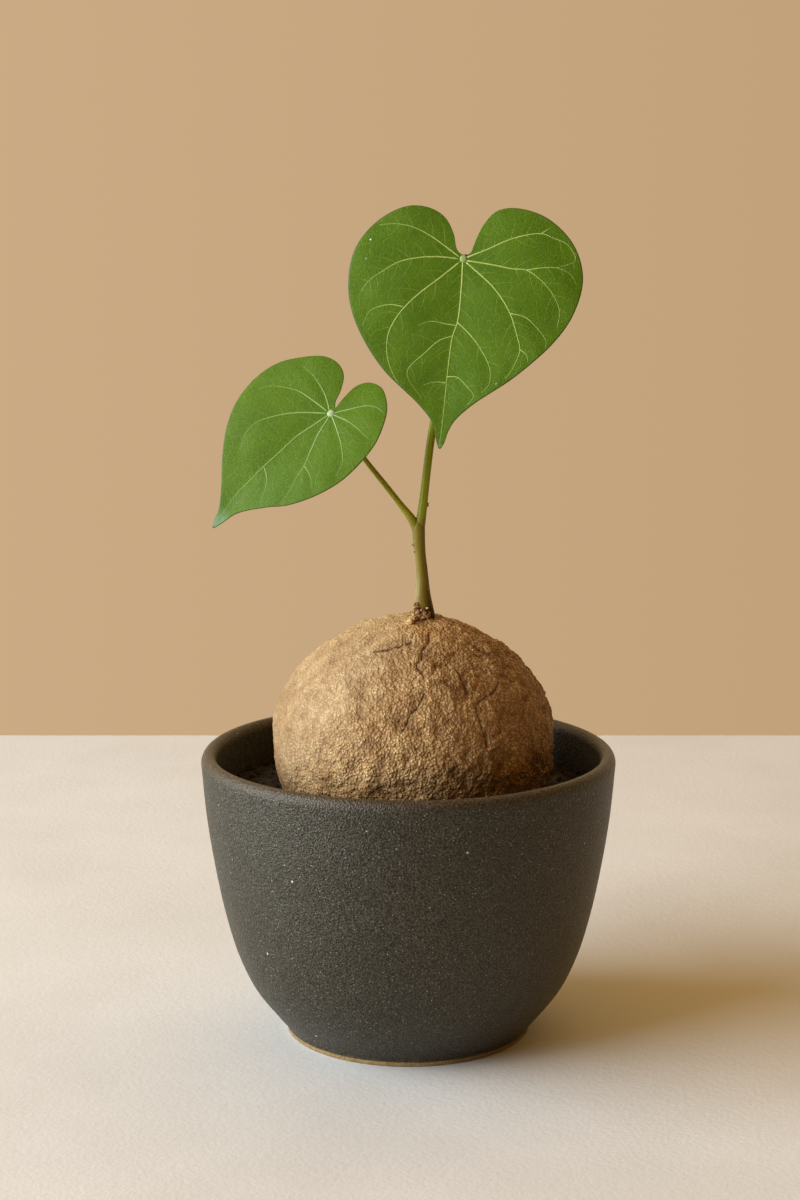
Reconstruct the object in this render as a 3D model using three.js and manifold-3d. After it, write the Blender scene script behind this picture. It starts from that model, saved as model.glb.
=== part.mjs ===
// A potted Stephania erecta: a round corky caudex half sunk in soil, one short stem on its crown,
// and two heart-shaped leaves on long petioles, in a small dark stoneware pot.
// Millimetres, +Z up, origin on the ground under the middle of the pot. -Y is the front.
import * as THREE from 'three';
import { mergeVertices } from 'three/addons/utils/BufferGeometryUtils.js';
import Module from 'manifold-3d';

const wasm = await Module();
wasm.setup();

// Clearance between neighbouring pieces
const GAP = 0.3;

// How far a bar's end stands out, as a share of its radius
const DOME = 0.35;

// Steps between two points of a bar's route
const BAR_STEPS = 2;

// Pot: one thrown stoneware wall with a rolled lip and a hollowed foot, points are [radius, height]
const POT_SIDES = 52;
const POT_HEIGHT = 69.5;
const LIP_STEPS = 5;
const FOOT_RADIUS = 29.8;
const FOOT_RING_INNER = 24;
const FOOT_HOLLOW = 1.5;
const FOOT_CHAMFER = 0.4;
const OUTER_WALL = [[30.4, 2.2], [33.5, 6], [38, 12], [41.7, 20], [44.6, 30], [47, 42], [48.8, 54], [50, 67]];
const INNER_WALL = [[46.3, 67], [45.1, 54], [43.1, 42], [40.4, 30], [36.6, 19], [31, 10.5], [22, 5.8],
  [0, 5]];
const WALL_STEPS = 8;

// Soil: its level and radius there, how far its crumbs stand out, and the slack it keeps in the pot
const SOIL_LEVEL = 59.5;
const SOIL_RADIUS = 45.1;
const SOIL_CRUMB = 0.6;
const SOIL_EDGE_DROP = 3;
const SOIL_CLEARANCE = 0.35;
const SOIL_RINGS = [42.5, 39.5, 36.5, 33, 26];

// Caudex: radius from its middle by latitude, points are [degrees above its equator, radius]
const CAUDEX_MIDDLE = new THREE.Vector3(1.1, 0, 70.4);
const CAUDEX_PROFILE = [[-90, 31], [-45, 32.2], [0, 33.6], [20, 34], [45, 32.7], [60, 32], [90, 32]];
const CAUDEX_SIDES = 52;
const CAUDEX_RINGS = 30;
// Lumps of its bark: a wave's direction and rate round the ball, its phase and its height
const CAUDEX_WAVES = [
  { rate: [8, 4, 6], phase: 0.4, height: 0.14 },
  { rate: [-5, 11, 3], phase: 2.1, height: 0.14 },
  { rate: [6, -9, 14], phase: 4, height: 0.14 },
  { rate: [17, 8, -9], phase: 1.2, height: 0.14 },
  { rate: [-13, 14, 15], phase: 5.3, height: 0.14 },
  { rate: [19, -15, 16], phase: 3.1, height: 0.14 },
];
const CROWN_RISE = 0.8;
const CROWN_WIDTH = 7;
const CAVITY_SIDES = 28;
const CAVITY_RINGS = 14;
const CAVITY_SLACK = 0.9;

// Roots under the caudex, fused to it and running down into the soil, points are [radius, height]
const ROOTS = 5;
const ROOT_ROUTE = [[9, 45], [12, 36], [14, 27], [17, 16]];
const ROOT_RADII = [2.4, 1.8, 1.2, 0.7];
const ROOT_SPREAD = 0.15;
const ROOT_TWIST = 12;
const ROOT_SIDES = 6;

// Stem: from a hole in the crown up to the fork
const STEM_ROUTE = [[5, -2, 98.6], [4.6, -2, 102], [4.1, -2, 106.4], [3.6, -2, 111], [3.1, -2, 116],
  [2.6, -2, 121], [2.3, -2, 125.6]];
const STEM_RADII = [1.9, 1.85, 1.6, 1.5, 1.4, 1.4, 1.65];
const STEM_SIDES = 12;
// Scars of fallen leaves on the stem: place and radius
const STEM_SCARS = [[1.5, -2.4, 119.2, 0.75], [1.6, -2.1, 117.4, 0.6], [4.2, -2.2, 109.2, 0.9]];

// Leaves: u runs along the midrib to the tip, v to the right and w out of the upper face
const BLADE_HALF = 0.4;
const BLADE_EDGE_HALF = 0.3;
const EDGE_STEPS = 2;
const BLADE_RINGS = [0.3, 0.6, 0.84, 1];
const RIB_STEPS = 2;
const RIB_HEIGHTS = [0.75, 0.46];
const RIB_ROOT = 0.25;
const RIB_WIDTHS = [0.75, 0.5];
const BOSS_RADIUS = 1.2;
const PETIOLE_SIDES = 10;

const LARGE_LEAF = {
  junction: [12.6, -1.5, 186.5],
  roll: -7.6,
  tilt: -16,
  yaw: 0,
  middle: [6, 0],
  fold: 0.16,
  crease: 2.5,
  bow: 0.0055,
  droop: 0.0035,
  droopFrom: 12,
  lobe: 0.004,
  sinus: [-1.2, 0],
  right: [[-1.8, 1.5], [-5.5, 2.5], [-9.5, 4], [-12.6, 6.5], [-13.8, 11], [-12.2, 18.5], [-7, 25],
    [0.5, 28.2], [9, 27.2], [16.5, 23.5], [25.8, 15.5], [34, 6], [37.5, 3], [40, 1.9], [43, 1.2]],
  tip: [44.2, 0.4],
  left: [[42.8, -0.5], [39.5, -1.6], [37.5, -2.9], [34.8, -5.8], [27.5, -15.5], [17.5, -23],
    [9.5, -25.6], [1, -25.2], [-6.3, -21], [-10.8, -14.5], [-11.2, -9.5], [-9.5, -5.5], [-6, -3], [-2, -1.5]],
  veins: [
    [[0, 0], [15, 0.5], [30, 0], [41.5, 0]],
    [[0.5, 1], [6, 8.5], [12, 13], [19, 16], [26.5, 13.5]],
    [[0, 1.5], [0.5, 8], [1, 15], [5, 21.5], [13, 24]],
    [[-1, 2], [-4, 6.5], [-7.5, 12.5], [-8.2, 19], [-3.5, 26]],
    [[1, -1], [7, -7], [13, -12], [20.5, -15], [30, -11]],
    [[0, -1], [0.5, -8], [3, -15], [7, -20], [13, -23]],
    [[-0.5, -1.5], [-4, -7], [-6, -13], [-6, -18], [-4, -22.5]],
    [[14.5, 0.5], [21, 7.5], [26, 10], [30.5, 8.5]],
    [[18, 0], [22.5, -5.5], [27.5, -9.3]],
  ],
  petiole: {
    route: [[2.4, -2, 124.8], [3.1, -2, 126.8], [3.8, -1.3, 132.4], [4.5, -0.3, 138.4], [5.3, 1, 144.3],
      [8.6, 4, 162.9], [11.4, 4.4, 178], [12.3, 3, 184]],
    radii: [1.1, 1.05, 1, 0.98, 0.95, 0.9, 0.85, 0.85, 0.85],
  },
};

const SMALL_LEAF = {
  junction: [-18.1, -5, 151.5],
  roll: -42,
  tilt: -28,
  yaw: -14,
  middle: [5, 1.6],
  fold: 0.16,
  crease: 2,
  bow: 0.006,
  droop: 0.0045,
  droopFrom: 12,
  lobe: 0.005,
  sinus: [-1.4, 0.1],
  right: [[-2.2, 0], [-5.3, -0.5], [-8.5, -0.6], [-11.2, 0.8], [-12.4, 4], [-11, 7.7], [-8.6, 10.5],
    [-2.7, 13.9], [3.5, 15.2], [10, 15.2], [16, 13.7], [22, 10.6], [27, 6.2], [32.5, 2], [36.5, 0.9]],
  tip: [38.6, 0.1],
  left: [[37.2, -0.9], [34.6, -2.1], [29.8, -6.2], [25.2, -10.9], [20, -15.3], [14, -18.4], [7.5, -19.6],
    [1, -18.5], [-4.5, -15], [-8.2, -11.3], [-9.2, -8], [-8.4, -5], [-5.4, -2.5], [-2.4, -1.1]],
  veins: [
    [[0, 0], [10, -1], [25, -1.3], [36, 0]],
    [[2, 1], [9.5, 4], [16.5, 7], [23.5, 9]],
    [[0.5, 1.5], [4, 8.5], [9.5, 13.5]],
    [[-0.5, 1.5], [-5, 4], [-8.4, 9]],
    [[1, -1], [7.5, -6.5], [14.5, -10.5], [21.5, -8.5]],
    [[0.5, -1], [2, -9], [8, -16.5]],
    [[-0.5, -1], [-2.5, -7], [-3, -13]],
  ],
  petiole: {
    route: [[2, -2, 124.4], [1.1, -2, 125.6], [-1.9, -1.2, 129.2], [-5.4, -0.4, 133.6], [-10, 0.2, 139.3],
      [-14.3, 0.2, 145.3], [-17, -1.2, 149]],
    radii: [0.95, 0.9, 0.75, 0.7, 0.62, 0.58, 0.55, 0.55],
  },
};

// Dry scales round the stem's foot: a crust of crumbs, thickest at front left, and scales in it
const CRUST_RADIUS = 2.5;
const CRUST_FROM = -65;
const CRUST_TURN = 240;
const CRUMBS = 11;
const CRUMB_RADIUS = 1.15;
const CRUMB_CHANGE = 0.3;
const CRUMB_WANDER = 0.2;
const CRUST_THICKEST = 220;
// How high the crumbs' middles lie over the crown, and how much more where the crust is thickest
const CRUST_LIFT = 0.4;
const CRUST_HEAP = 1.1;
const SCALE_HALF_THICKNESS = 0.35;
const SCALE_SIDES = 6;
const SCALE_RINGS = [0, 0.4, 0.8];
const SCALE_NARROWING = 0.65;
const UPRIGHT_SCALES = [
  { angle: 186, height: 3, width: 1.9, lean: 0.5 },
  { angle: 160, height: 4.2, width: 1.3, lean: 0.1 },
  { angle: 250, height: 2.2, width: 2, lean: 0.7 },
  { angle: 75, height: 2.6, width: 1.8, lean: 0.4 },
];

const vector = ([x, y, z]) => new THREE.Vector3(x, y, z);
const radians = THREE.MathUtils.degToRad;
const degrees = THREE.MathUtils.radToDeg;

// A geometry of shared corners from a list of points and a list of triangles
function geometryOf(points, triangles) {
  const geometry = new THREE.BufferGeometry();
  geometry.setAttribute('position', new THREE.Float32BufferAttribute(points.flatMap((p) => p.toArray()), 3));
  geometry.setIndex(triangles.flat());
  return geometry;
}

// A closed skin over rings of equal count, drawn in to a point at each end.
// Each ring turns counter-clockwise as seen from the end that the rings run to.
function loft(rings, start, end) {
  const count = rings[0].length;
  const points = [start, ...rings.flat(), end];
  const corner = (ring, side) => 1 + ring * count + (side % count);
  const triangles = [];
  for (let side = 0; side < count; side += 1) {
    triangles.push([0, corner(0, side + 1), corner(0, side)]);
    triangles.push([points.length - 1, corner(rings.length - 1, side), corner(rings.length - 1, side + 1)]);
    for (let ring = 0; ring + 1 < rings.length; ring += 1) {
      const low = [corner(ring, side), corner(ring, side + 1)];
      const high = [corner(ring + 1, side), corner(ring + 1, side + 1)];
      triangles.push([low[0], low[1], high[1]], [low[0], high[1], high[0]]);
    }
  }
  return geometryOf(points, triangles);
}

// A level ring of points round a vertical axis
function levelRing(radius, height, sides) {
  return Array.from({ length: sides }, (_, side) => {
    const angle = (2 * Math.PI * side) / sides;
    return new THREE.Vector3(radius * Math.cos(angle), radius * Math.sin(angle), height);
  });
}

// The value at x of a smooth curve through [x, value] points
function smoothValue(points, x) {
  const last = points.length - 1;
  let k = 0;
  while (k < last - 1 && points[k + 1][0] <= x) k += 1;
  const slope = (i) => {
    const [before, after] = [points[Math.max(0, i - 1)], points[Math.min(last, i + 1)]];
    return (after[1] - before[1]) / (after[0] - before[0]);
  };
  const width = points[k + 1][0] - points[k][0];
  const rise = points[k + 1][1] - points[k][1];
  const [leaving, arriving] = [slope(k) * width, slope(k + 1) * width];
  const t = (x - points[k][0]) / width;
  const bend = (3 * rise - 2 * leaving - arriving) * t ** 2 + (leaving + arriving - 2 * rise) * t ** 3;
  return points[k][1] + leaving * t + bend;
}

// A round bar along a smooth route, with its own radius at each point of the route and domed ends
function bar(route, radii, sides, grow = 0) {
  const curve = new THREE.CatmullRomCurve3(route, false, 'centripetal');
  const spans = route.length - 1;
  const steps = spans * BAR_STEPS;
  const centres = curve.getPoints(steps);
  const tangents = centres.map((_, i) => curve.getTangent(i / steps));
  const across = new THREE.Vector3(0, 1, 0).cross(tangents[0]);
  const rings = centres.map((centre, i) => {
    const t = tangents[i];
    across.sub(t.clone().multiplyScalar(across.dot(t))).normalize();
    const other = t.clone().cross(across);
    const along = i / BAR_STEPS;
    const k = Math.min(spans - 1, Math.floor(along));
    const radius = THREE.MathUtils.lerp(radii[k], radii[k + 1], along - k) + grow;
    return Array.from({ length: sides }, (_, side) => {
      const angle = (2 * Math.PI * side) / sides;
      const out = across.clone().multiplyScalar(Math.cos(angle)).addScaledVector(other, Math.sin(angle));
      return centre.clone().addScaledVector(out, radius);
    });
  });
  const end = (i, reach) => centres[i].clone().addScaledVector(tangents[i], reach);
  return loft(rings, end(0, -DOME * radii[0] - grow), end(steps, DOME * radii.at(-1) + grow));
}

// A small faceted ball
function lump(centre, radius, detail = 1) {
  return new THREE.IcosahedronGeometry(radius, detail).translate(centre.x, centre.y, centre.z);
}

// A solid for cutting and joining, from a closed geometry
function solid(geometry) {
  const bare = new THREE.BufferGeometry();
  bare.setAttribute('position', geometry.getAttribute('position'));
  if (geometry.index) bare.setIndex(geometry.index);
  const merged = mergeVertices(bare, 1e-5);
  return new wasm.Manifold(new wasm.Mesh({
    numProp: 3,
    vertProperties: new Float32Array(merged.attributes.position.array),
    triVerts: new Uint32Array(merged.index.array),
  }));
}

// Several closed geometries joined into one solid
const joined = (geometries) => geometries.map(solid).reduce((whole, piece) => whole.add(piece));

// The geometry of a solid
function skin(cut) {
  const mesh = cut.getMesh();
  const geometry = new THREE.BufferGeometry();
  geometry.setAttribute('position', new THREE.BufferAttribute(new Float32Array(mesh.vertProperties), 3));
  geometry.setIndex(new THREE.BufferAttribute(new Uint32Array(mesh.triVerts), 1));
  return geometry;
}

// The inner face of the pot's wall, from the rim down to the middle of the floor
const innerFace = new THREE.SplineCurve(INNER_WALL.map(([r, z]) => new THREE.Vector2(r, z)));

function potGeometry() {
  const outerFace = new THREE.SplineCurve(OUTER_WALL.map(([r, z]) => new THREE.Vector2(r, z)));
  const outer = outerFace.getPoints(WALL_STEPS);
  const [outerTop, innerTop] = [outer.at(-1), innerFace.getPoint(0)];
  const lipMiddle = (outerTop.x + innerTop.x) / 2;
  const lipHalf = (outerTop.x - innerTop.x) / 2;
  const lip = Array.from({ length: LIP_STEPS }, (_, i) => {
    const angle = (Math.PI * (i + 1)) / (LIP_STEPS + 1);
    const rise = (POT_HEIGHT - outerTop.y) * Math.sin(angle);
    return new THREE.Vector2(lipMiddle + lipHalf * Math.cos(angle), outerTop.y + rise);
  });
  const foot = [
    new THREE.Vector2(0, FOOT_HOLLOW),
    new THREE.Vector2(FOOT_RING_INNER - FOOT_HOLLOW, FOOT_HOLLOW),
    new THREE.Vector2(FOOT_RING_INNER, 0),
    new THREE.Vector2(FOOT_RADIUS - FOOT_CHAMFER, 0),
    new THREE.Vector2(FOOT_RADIUS, FOOT_CHAMFER),
  ];
  const profile = [...foot, ...outer, ...lip, ...innerFace.getPoints(WALL_STEPS)];
  return new THREE.LatheGeometry(profile, POT_SIDES).rotateX(Math.PI / 2);
}

// The caudex's surface in a direction, given as latitude and longitude in degrees
function caudexPoint(latitude, longitude, grow = 0) {
  const [lat, lon] = [radians(latitude), radians(longitude)];
  const way = new THREE.Vector3(Math.cos(lat) * Math.cos(lon), Math.cos(lat) * Math.sin(lon), Math.sin(lat));
  const lumps = CAUDEX_WAVES.reduce(
    (sum, wave) => sum + wave.height * Math.sin(way.dot(vector(wave.rate)) + wave.phase), 0);
  const toStem = vector(STEM_ROUTE[1]).sub(CAUDEX_MIDDLE).normalize();
  const offCrown = degrees(way.angleTo(toStem)) / CROWN_WIDTH;
  const radius = smoothValue(CAUDEX_PROFILE, latitude) + lumps + CROWN_RISE * Math.exp(-offCrown * offCrown);
  return way.multiplyScalar(radius + grow).add(CAUDEX_MIDDLE);
}

function caudexBall(sides, ringCount, grow = 0) {
  const rings = Array.from({ length: ringCount - 1 }, (_, i) => {
    const latitude = -90 + (180 * (i + 1)) / ringCount;
    return Array.from({ length: sides }, (_, side) => caudexPoint(latitude, (360 * side) / sides, grow));
  });
  return loft(rings, caudexPoint(-90, 0, grow), caudexPoint(90, 0, grow));
}

// Roots that leave the underside and spread as they go down, each a little longer or shorter
function rootBars(grow = 0) {
  return Array.from({ length: ROOTS }, (_, k) => {
    const turn = (360 * k) / ROOTS + ROOT_TWIST * Math.sin(3 * k + 1);
    const stretch = 1 + ROOT_SPREAD * Math.sin(5 * k + 2);
    const route = ROOT_ROUTE.map(([radius, height], i) => {
      const angle = radians(turn + ROOT_TWIST * Math.sin(2 * i + k));
      const [x, y] = [radius * stretch * Math.cos(angle), radius * stretch * Math.sin(angle)];
      return new THREE.Vector3(CAUDEX_MIDDLE.x + x, CAUDEX_MIDDLE.y + y, height);
    });
    return bar(route, ROOT_RADII, ROOT_SIDES, grow);
  });
}

const stemBar = (grow = 0) => bar(STEM_ROUTE.map(vector), STEM_RADII, STEM_SIDES, grow);

function stemSolid(grow = 0) {
  const scars = STEM_SCARS.map(([x, y, z, radius]) => lump(new THREE.Vector3(x, y, z), radius + grow));
  return joined([stemBar(grow), ...scars]);
}

function caudexSolid() {
  const whole = joined([caudexBall(CAUDEX_SIDES, CAUDEX_RINGS), ...rootBars()]);
  return whole.subtract(solid(stemBar(GAP)));
}

// Soil fills the pot to its level, and is hollowed where the caudex and its roots lie
function soilSolid() {
  const wall = innerFace.getPoints(WALL_STEPS).reverse().slice(1);
  const buried = wall.filter((p) => p.y < SOIL_LEVEL - SOIL_EDGE_DROP);
  const shell = buried.map((p) => levelRing(p.x - SOIL_CLEARANCE, p.y + SOIL_CLEARANCE, POT_SIDES));
  const shore = levelRing(SOIL_RADIUS, SOIL_LEVEL - SOIL_CRUMB, POT_SIDES);
  const crumbled = SOIL_RINGS.map((radius, ring) => {
    const points = levelRing(radius, SOIL_LEVEL, POT_SIDES);
    points.forEach((p, side) => {
      p.z += SOIL_CRUMB * Math.sin(12.9 * side + 7.3 * ring) * Math.cos(4.1 * side - 2.7 * ring);
    });
    return points;
  });
  const rings = [...shell, shore, ...crumbled];
  const floor = new THREE.Vector3(0, 0, INNER_WALL.at(-1)[1] + GAP);
  const block = solid(loft(rings, floor, new THREE.Vector3(0, 0, SOIL_LEVEL)));
  const hollow = joined([caudexBall(CAVITY_SIDES, CAVITY_RINGS, CAVITY_SLACK), ...rootBars(GAP)]);
  return block.subtract(hollow);
}

// Where a leaf's own u, v and w axes lie: hanging straight and facing front, then rolled, tilted and turned
function leafFrame(leaf) {
  const facing = new THREE.Matrix4().makeBasis(
    new THREE.Vector3(0, 0, -1), new THREE.Vector3(1, 0, 0), new THREE.Vector3(0, -1, 0));
  const roll = new THREE.Matrix4().makeRotationAxis(new THREE.Vector3(0, -1, 0), radians(leaf.roll));
  const tilt = new THREE.Matrix4().makeRotationX(radians(leaf.tilt));
  const yaw = new THREE.Matrix4().makeRotationZ(radians(leaf.yaw));
  const place = new THREE.Matrix4().makeTranslation(...leaf.junction);
  return place.multiply(yaw).multiply(tilt).multiply(roll).multiply(facing);
}

// Height of a blade's middle layer: a crease at the midrib, arched halves, drooping tip and lobes
function bladeLift(leaf, u, v) {
  const folded = leaf.fold * (Math.hypot(v, leaf.crease) - leaf.crease) - leaf.bow * v * v;
  const droop = leaf.droop * Math.max(0, u - leaf.droopFrom) ** 2;
  const lobe = leaf.lobe * Math.min(0, u) ** 2;
  return folded - droop - lobe;
}

const onBlade = (leaf, u, v, lift = 0) => new THREE.Vector3(u, v, bladeLift(leaf, u, v) + lift);

// A blade with its two faces split into triangles alike, and a thin rim between them
function bladeGeometry(leaf) {
  const controls = [leaf.sinus, ...leaf.right, leaf.tip, ...leaf.left];
  const corners = controls.map(([u, v]) => new THREE.Vector3(u, v, 0));
  const outline = new THREE.CatmullRomCurve3(corners, true, 'centripetal');
  const edge = outline.getPoints(controls.length * EDGE_STEPS).slice(0, -1);
  const middle = new THREE.Vector3(...leaf.middle, 0);
  const face = (side) => {
    const rings = BLADE_RINGS.map((share) => {
      const half = share === 1 ? BLADE_EDGE_HALF : BLADE_HALF;
      return edge.map((p) => middle.clone().lerp(p, share)).map((p) => onBlade(leaf, p.x, p.y, side * half));
    });
    return [onBlade(leaf, middle.x, middle.y, side * BLADE_HALF), ...rings.flat()];
  };
  const [top, bottom] = [face(1), face(-1)];
  const count = edge.length;
  const outward = Math.sign(THREE.ShapeUtils.area(edge));
  const corner = (ring, side) => 1 + ring * count + (side % count);
  const triangles = [];
  const bothFaces = (a, b, c) => triangles.push([a, b, c], [a + top.length, c + top.length, b + top.length]);
  for (let side = 0; side < count; side += 1) {
    bothFaces(0, corner(0, side), corner(0, side + 1));
    for (let ring = 0; ring + 1 < BLADE_RINGS.length; ring += 1) {
      const [a, b] = [corner(ring, side), corner(ring, side + 1)];
      const [c, d] = [corner(ring + 1, side + 1), corner(ring + 1, side)];
      bothFaces(a, d, c);
      bothFaces(a, c, b);
    }
    const [a, b] = [corner(BLADE_RINGS.length - 1, side), corner(BLADE_RINGS.length - 1, side + 1)];
    triangles.push([a, a + top.length, b + top.length], [a, b + top.length, b]);
  }
  if (outward < 0) triangles.forEach((triangle) => triangle.reverse());
  return geometryOf([...top, ...bottom], triangles);
}

// A vein as a tapered ridge of diamond section. The midrib, the first vein, stands out of both faces
// of its blade, and the others only out of the upper one.
function ribGeometry(leaf, vein, index) {
  const path = new THREE.SplineCurve(vein.map(([u, v]) => new THREE.Vector2(u, v)));
  const steps = (vein.length - 1) * RIB_STEPS;
  const centres = path.getPoints(steps).map((p) => onBlade(leaf, p.x, p.y));
  const rings = centres.map((centre, i) => {
    const share = i / steps;
    const along = path.getTangent(share);
    const side = new THREE.Vector3(-along.y, along.x, 0)
      .multiplyScalar(THREE.MathUtils.lerp(RIB_WIDTHS[0], RIB_WIDTHS[1], share));
    const up = new THREE.Vector3(0, 0, THREE.MathUtils.lerp(RIB_HEIGHTS[0], RIB_HEIGHTS[1], share));
    const down = index === 0 ? up.clone().negate() : new THREE.Vector3(0, 0, -RIB_ROOT);
    return [side, up, side.clone().negate(), down].map((step) => centre.clone().add(step));
  });
  return loft(rings, centres[0], centres.at(-1));
}

function leafSolid(leaf) {
  const boss = lump(onBlade(leaf, 0, 0), BOSS_RADIUS).scale(1, 1, RIB_HEIGHTS[0] / BOSS_RADIUS);
  const ribs = leaf.veins.map((vein, index) => ribGeometry(leaf, vein, index));
  const pieces = [bladeGeometry(leaf), boss, ...ribs];
  return joined(pieces.map((piece) => piece.applyMatrix4(leafFrame(leaf))));
}

// A petiole runs from the fork to just behind the boss of its blade
function petioleSolid(leaf, grow = 0) {
  const seat = new THREE.Vector3(0, 0, -RIB_HEIGHTS[0] - 2 * GAP).applyMatrix4(leafFrame(leaf));
  return solid(bar([...leaf.petiole.route.map(vector), seat], leaf.petiole.radii, PETIOLE_SIDES, grow));
}

// A crust of crumbs lies on the crown round the stem, and the scales stand out of it
function scalesSolid() {
  const foot = vector(STEM_ROUTE[1]);
  const onCrown = (angle, reach) => {
    const offX = foot.x + reach * Math.cos(radians(angle)) - CAUDEX_MIDDLE.x;
    const offY = foot.y + reach * Math.sin(radians(angle)) - CAUDEX_MIDDLE.y;
    const fromTop = Math.asin(Math.hypot(offX, offY) / CAUDEX_PROFILE.at(-1)[1]);
    return caudexPoint(90 - degrees(fromTop), degrees(Math.atan2(offY, offX)));
  };
  const crumbs = Array.from({ length: CRUMBS }, (_, k) => {
    const angle = CRUST_FROM - (CRUST_TURN * k) / (CRUMBS - 1);
    const thick = Math.cos(radians(angle - CRUST_THICKEST));
    const centre = onCrown(angle, CRUST_RADIUS + CRUMB_WANDER * Math.sin(7 * k));
    centre.z += CRUST_LIFT + CRUST_HEAP * Math.max(0, thick);
    return lump(centre, CRUMB_RADIUS + CRUMB_CHANGE * thick, 0);
  });
  const uprights = UPRIGHT_SCALES.map(({ angle, height, width, lean }) => {
    const root = onCrown(angle, CRUST_RADIUS);
    const out = new THREE.Vector3(Math.cos(radians(angle)), Math.sin(radians(angle)), 0);
    const side = new THREE.Vector3(-out.y, out.x, 0);
    const rings = SCALE_RINGS.map((share) => {
      const centre = root.clone().addScaledVector(out, lean * share * share);
      centre.z += height * share;
      const half = (width / 2) * (1 - SCALE_NARROWING * share * share);
      return Array.from({ length: SCALE_SIDES }, (_, i) => {
        const turn = (2 * Math.PI * i) / SCALE_SIDES;
        const corner = centre.clone().addScaledVector(out, SCALE_HALF_THICKNESS * Math.cos(turn));
        return corner.addScaledVector(side, half * Math.sin(turn));
      });
    });
    const top = root.clone().addScaledVector(out, lean);
    top.z += height;
    return loft(rings, root, top);
  });
  const whole = joined([...crumbs, ...uprights]);
  return whole.subtract(solid(caudexBall(CAUDEX_SIDES, CAUDEX_RINGS, GAP))).subtract(solid(stemBar(GAP)));
}

const plant = new THREE.Group();
function addNode(name, geometry, color, roughness) {
  const mesh = new THREE.Mesh(geometry, new THREE.MeshStandardMaterial({ color, roughness, metalness: 0 }));
  mesh.name = name;
  plant.add(mesh);
}

// At the fork the petioles are shaped to the stem's top, and the small one to the large one's side
const forkTop = stemSolid(GAP);
const largePetiole = petioleSolid(LARGE_LEAF).subtract(forkTop);
const smallPetiole = petioleSolid(SMALL_LEAF).subtract(forkTop).subtract(petioleSolid(LARGE_LEAF, GAP));

addNode('pot', potGeometry(), 0x3b3a3a, 0.85);
addNode('soil', skin(soilSolid()), 0x33261c, 0.95);
addNode('caudex', skin(caudexSolid()), 0xa5825a, 0.9);
addNode('crown_scales', skin(scalesSolid()), 0x6b4430, 0.9);
addNode('stem', skin(stemSolid()), 0x7c7434, 0.65);
addNode('petiole_large', skin(largePetiole), 0x7f9440, 0.5);
addNode('petiole_small', skin(smallPetiole), 0x7f9440, 0.5);
addNode('leaf_large', skin(leafSolid(LARGE_LEAF)), 0x4a7a35, 0.5);
addNode('leaf_small', skin(leafSolid(SMALL_LEAF)), 0x57863c, 0.5);

export default plant;
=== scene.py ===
"""The finished surfaces of a potted Stephania erecta: pot, soil, caudex, stem, petioles and leaves.

Sizes are in millimetres here and become metres as each mesh is made. +Z is up and -Y is the front.
A leaf's own axes are u along its midrib to the tip, v to the right and w out of its upper face.
"""

import math
import random

import bmesh
import bpy
import numpy as np
from mathutils import Matrix, Vector, noise


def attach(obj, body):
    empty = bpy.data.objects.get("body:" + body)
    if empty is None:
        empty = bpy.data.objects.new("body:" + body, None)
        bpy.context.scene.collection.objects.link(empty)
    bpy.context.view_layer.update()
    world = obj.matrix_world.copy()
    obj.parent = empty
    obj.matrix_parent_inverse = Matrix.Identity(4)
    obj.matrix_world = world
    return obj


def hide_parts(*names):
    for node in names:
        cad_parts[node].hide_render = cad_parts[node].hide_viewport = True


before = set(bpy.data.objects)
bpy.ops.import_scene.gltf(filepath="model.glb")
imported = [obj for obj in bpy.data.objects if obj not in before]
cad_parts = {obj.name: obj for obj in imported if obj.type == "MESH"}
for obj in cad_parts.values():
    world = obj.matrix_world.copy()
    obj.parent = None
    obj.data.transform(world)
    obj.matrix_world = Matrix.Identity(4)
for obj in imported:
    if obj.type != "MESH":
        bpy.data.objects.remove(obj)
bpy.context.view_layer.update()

MM = 0.001

# Pot: wall points are [radius, height]
POT_HEIGHT = 69.5
POT_SIDES = 256
LIP_STEPS = 20
# Half height of each of the two waves that put the wall out of round, at the rim
WALL_UNEVEN = 0.07
OUTER_WALL = [[30.4, 2.2], [33.5, 6], [38, 12], [41.7, 20], [44.6, 30], [47, 42], [48.8, 54], [50, 67]]
INNER_WALL = [[46.3, 67], [45.1, 54], [43.1, 42], [40.4, 30], [36.6, 19], [31, 10.5], [22, 5.8], [0.5, 5]]
FOOT = [[0.5, 1.5], [12, 1.5], [22.5, 1.5], [23.4, 0.9], [24, 0.1], [24.2, 0], [26, 0], [29.3, 0],
        [29.7, 0.15], [29.8, 0.5], [29.85, 1.3], [30, 1.7]]
CLAY_LINE = 1.15
RIM_FROM = 66.5
# Specks of the stoneware: spacing, share of places that have one, radius as a share, colour, strength
STONE_SPECKS = [
    [0.75, 0.32, 0.3, (0.21, 0.195, 0.14), 0.6], [1.6, 0.55, 0.1, (0.34, 0.32, 0.25), 1],
    [1.1, 0.35, 0.3, (0.003, 0.0027, 0.0016), 0.5], [3.2, 0.45, 0.07, (0.36, 0.34, 0.27), 1],
    [5.5, 0.5, 0.06, (0.62, 0.58, 0.48), 1], [4.5, 0.35, 0.06, (0.2, 0.095, 0.035), 1]]

# Soil: its level, and the gaps to the pot and to the caudex in its hollow
SOIL_LEVEL = 59.5
SOIL_RADIUS = 45.5
SOIL_SIDES = 256
SOIL_WALL_GAP = 0.35
SOIL_FLOOR_GAP = 0.3
SOIL_HOLLOW_GAP = 0.5
SOIL_TOP_STEPS = 26
SOIL_HOLLOW_STEPS = 16
# Waves of its top: rate in each millimetre, height
SOIL_WAVES = [[0.22, 0.9], [0.8, 0.55]]
CRUMBS_IN_SQUARE_METRE = 120000.0

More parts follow.
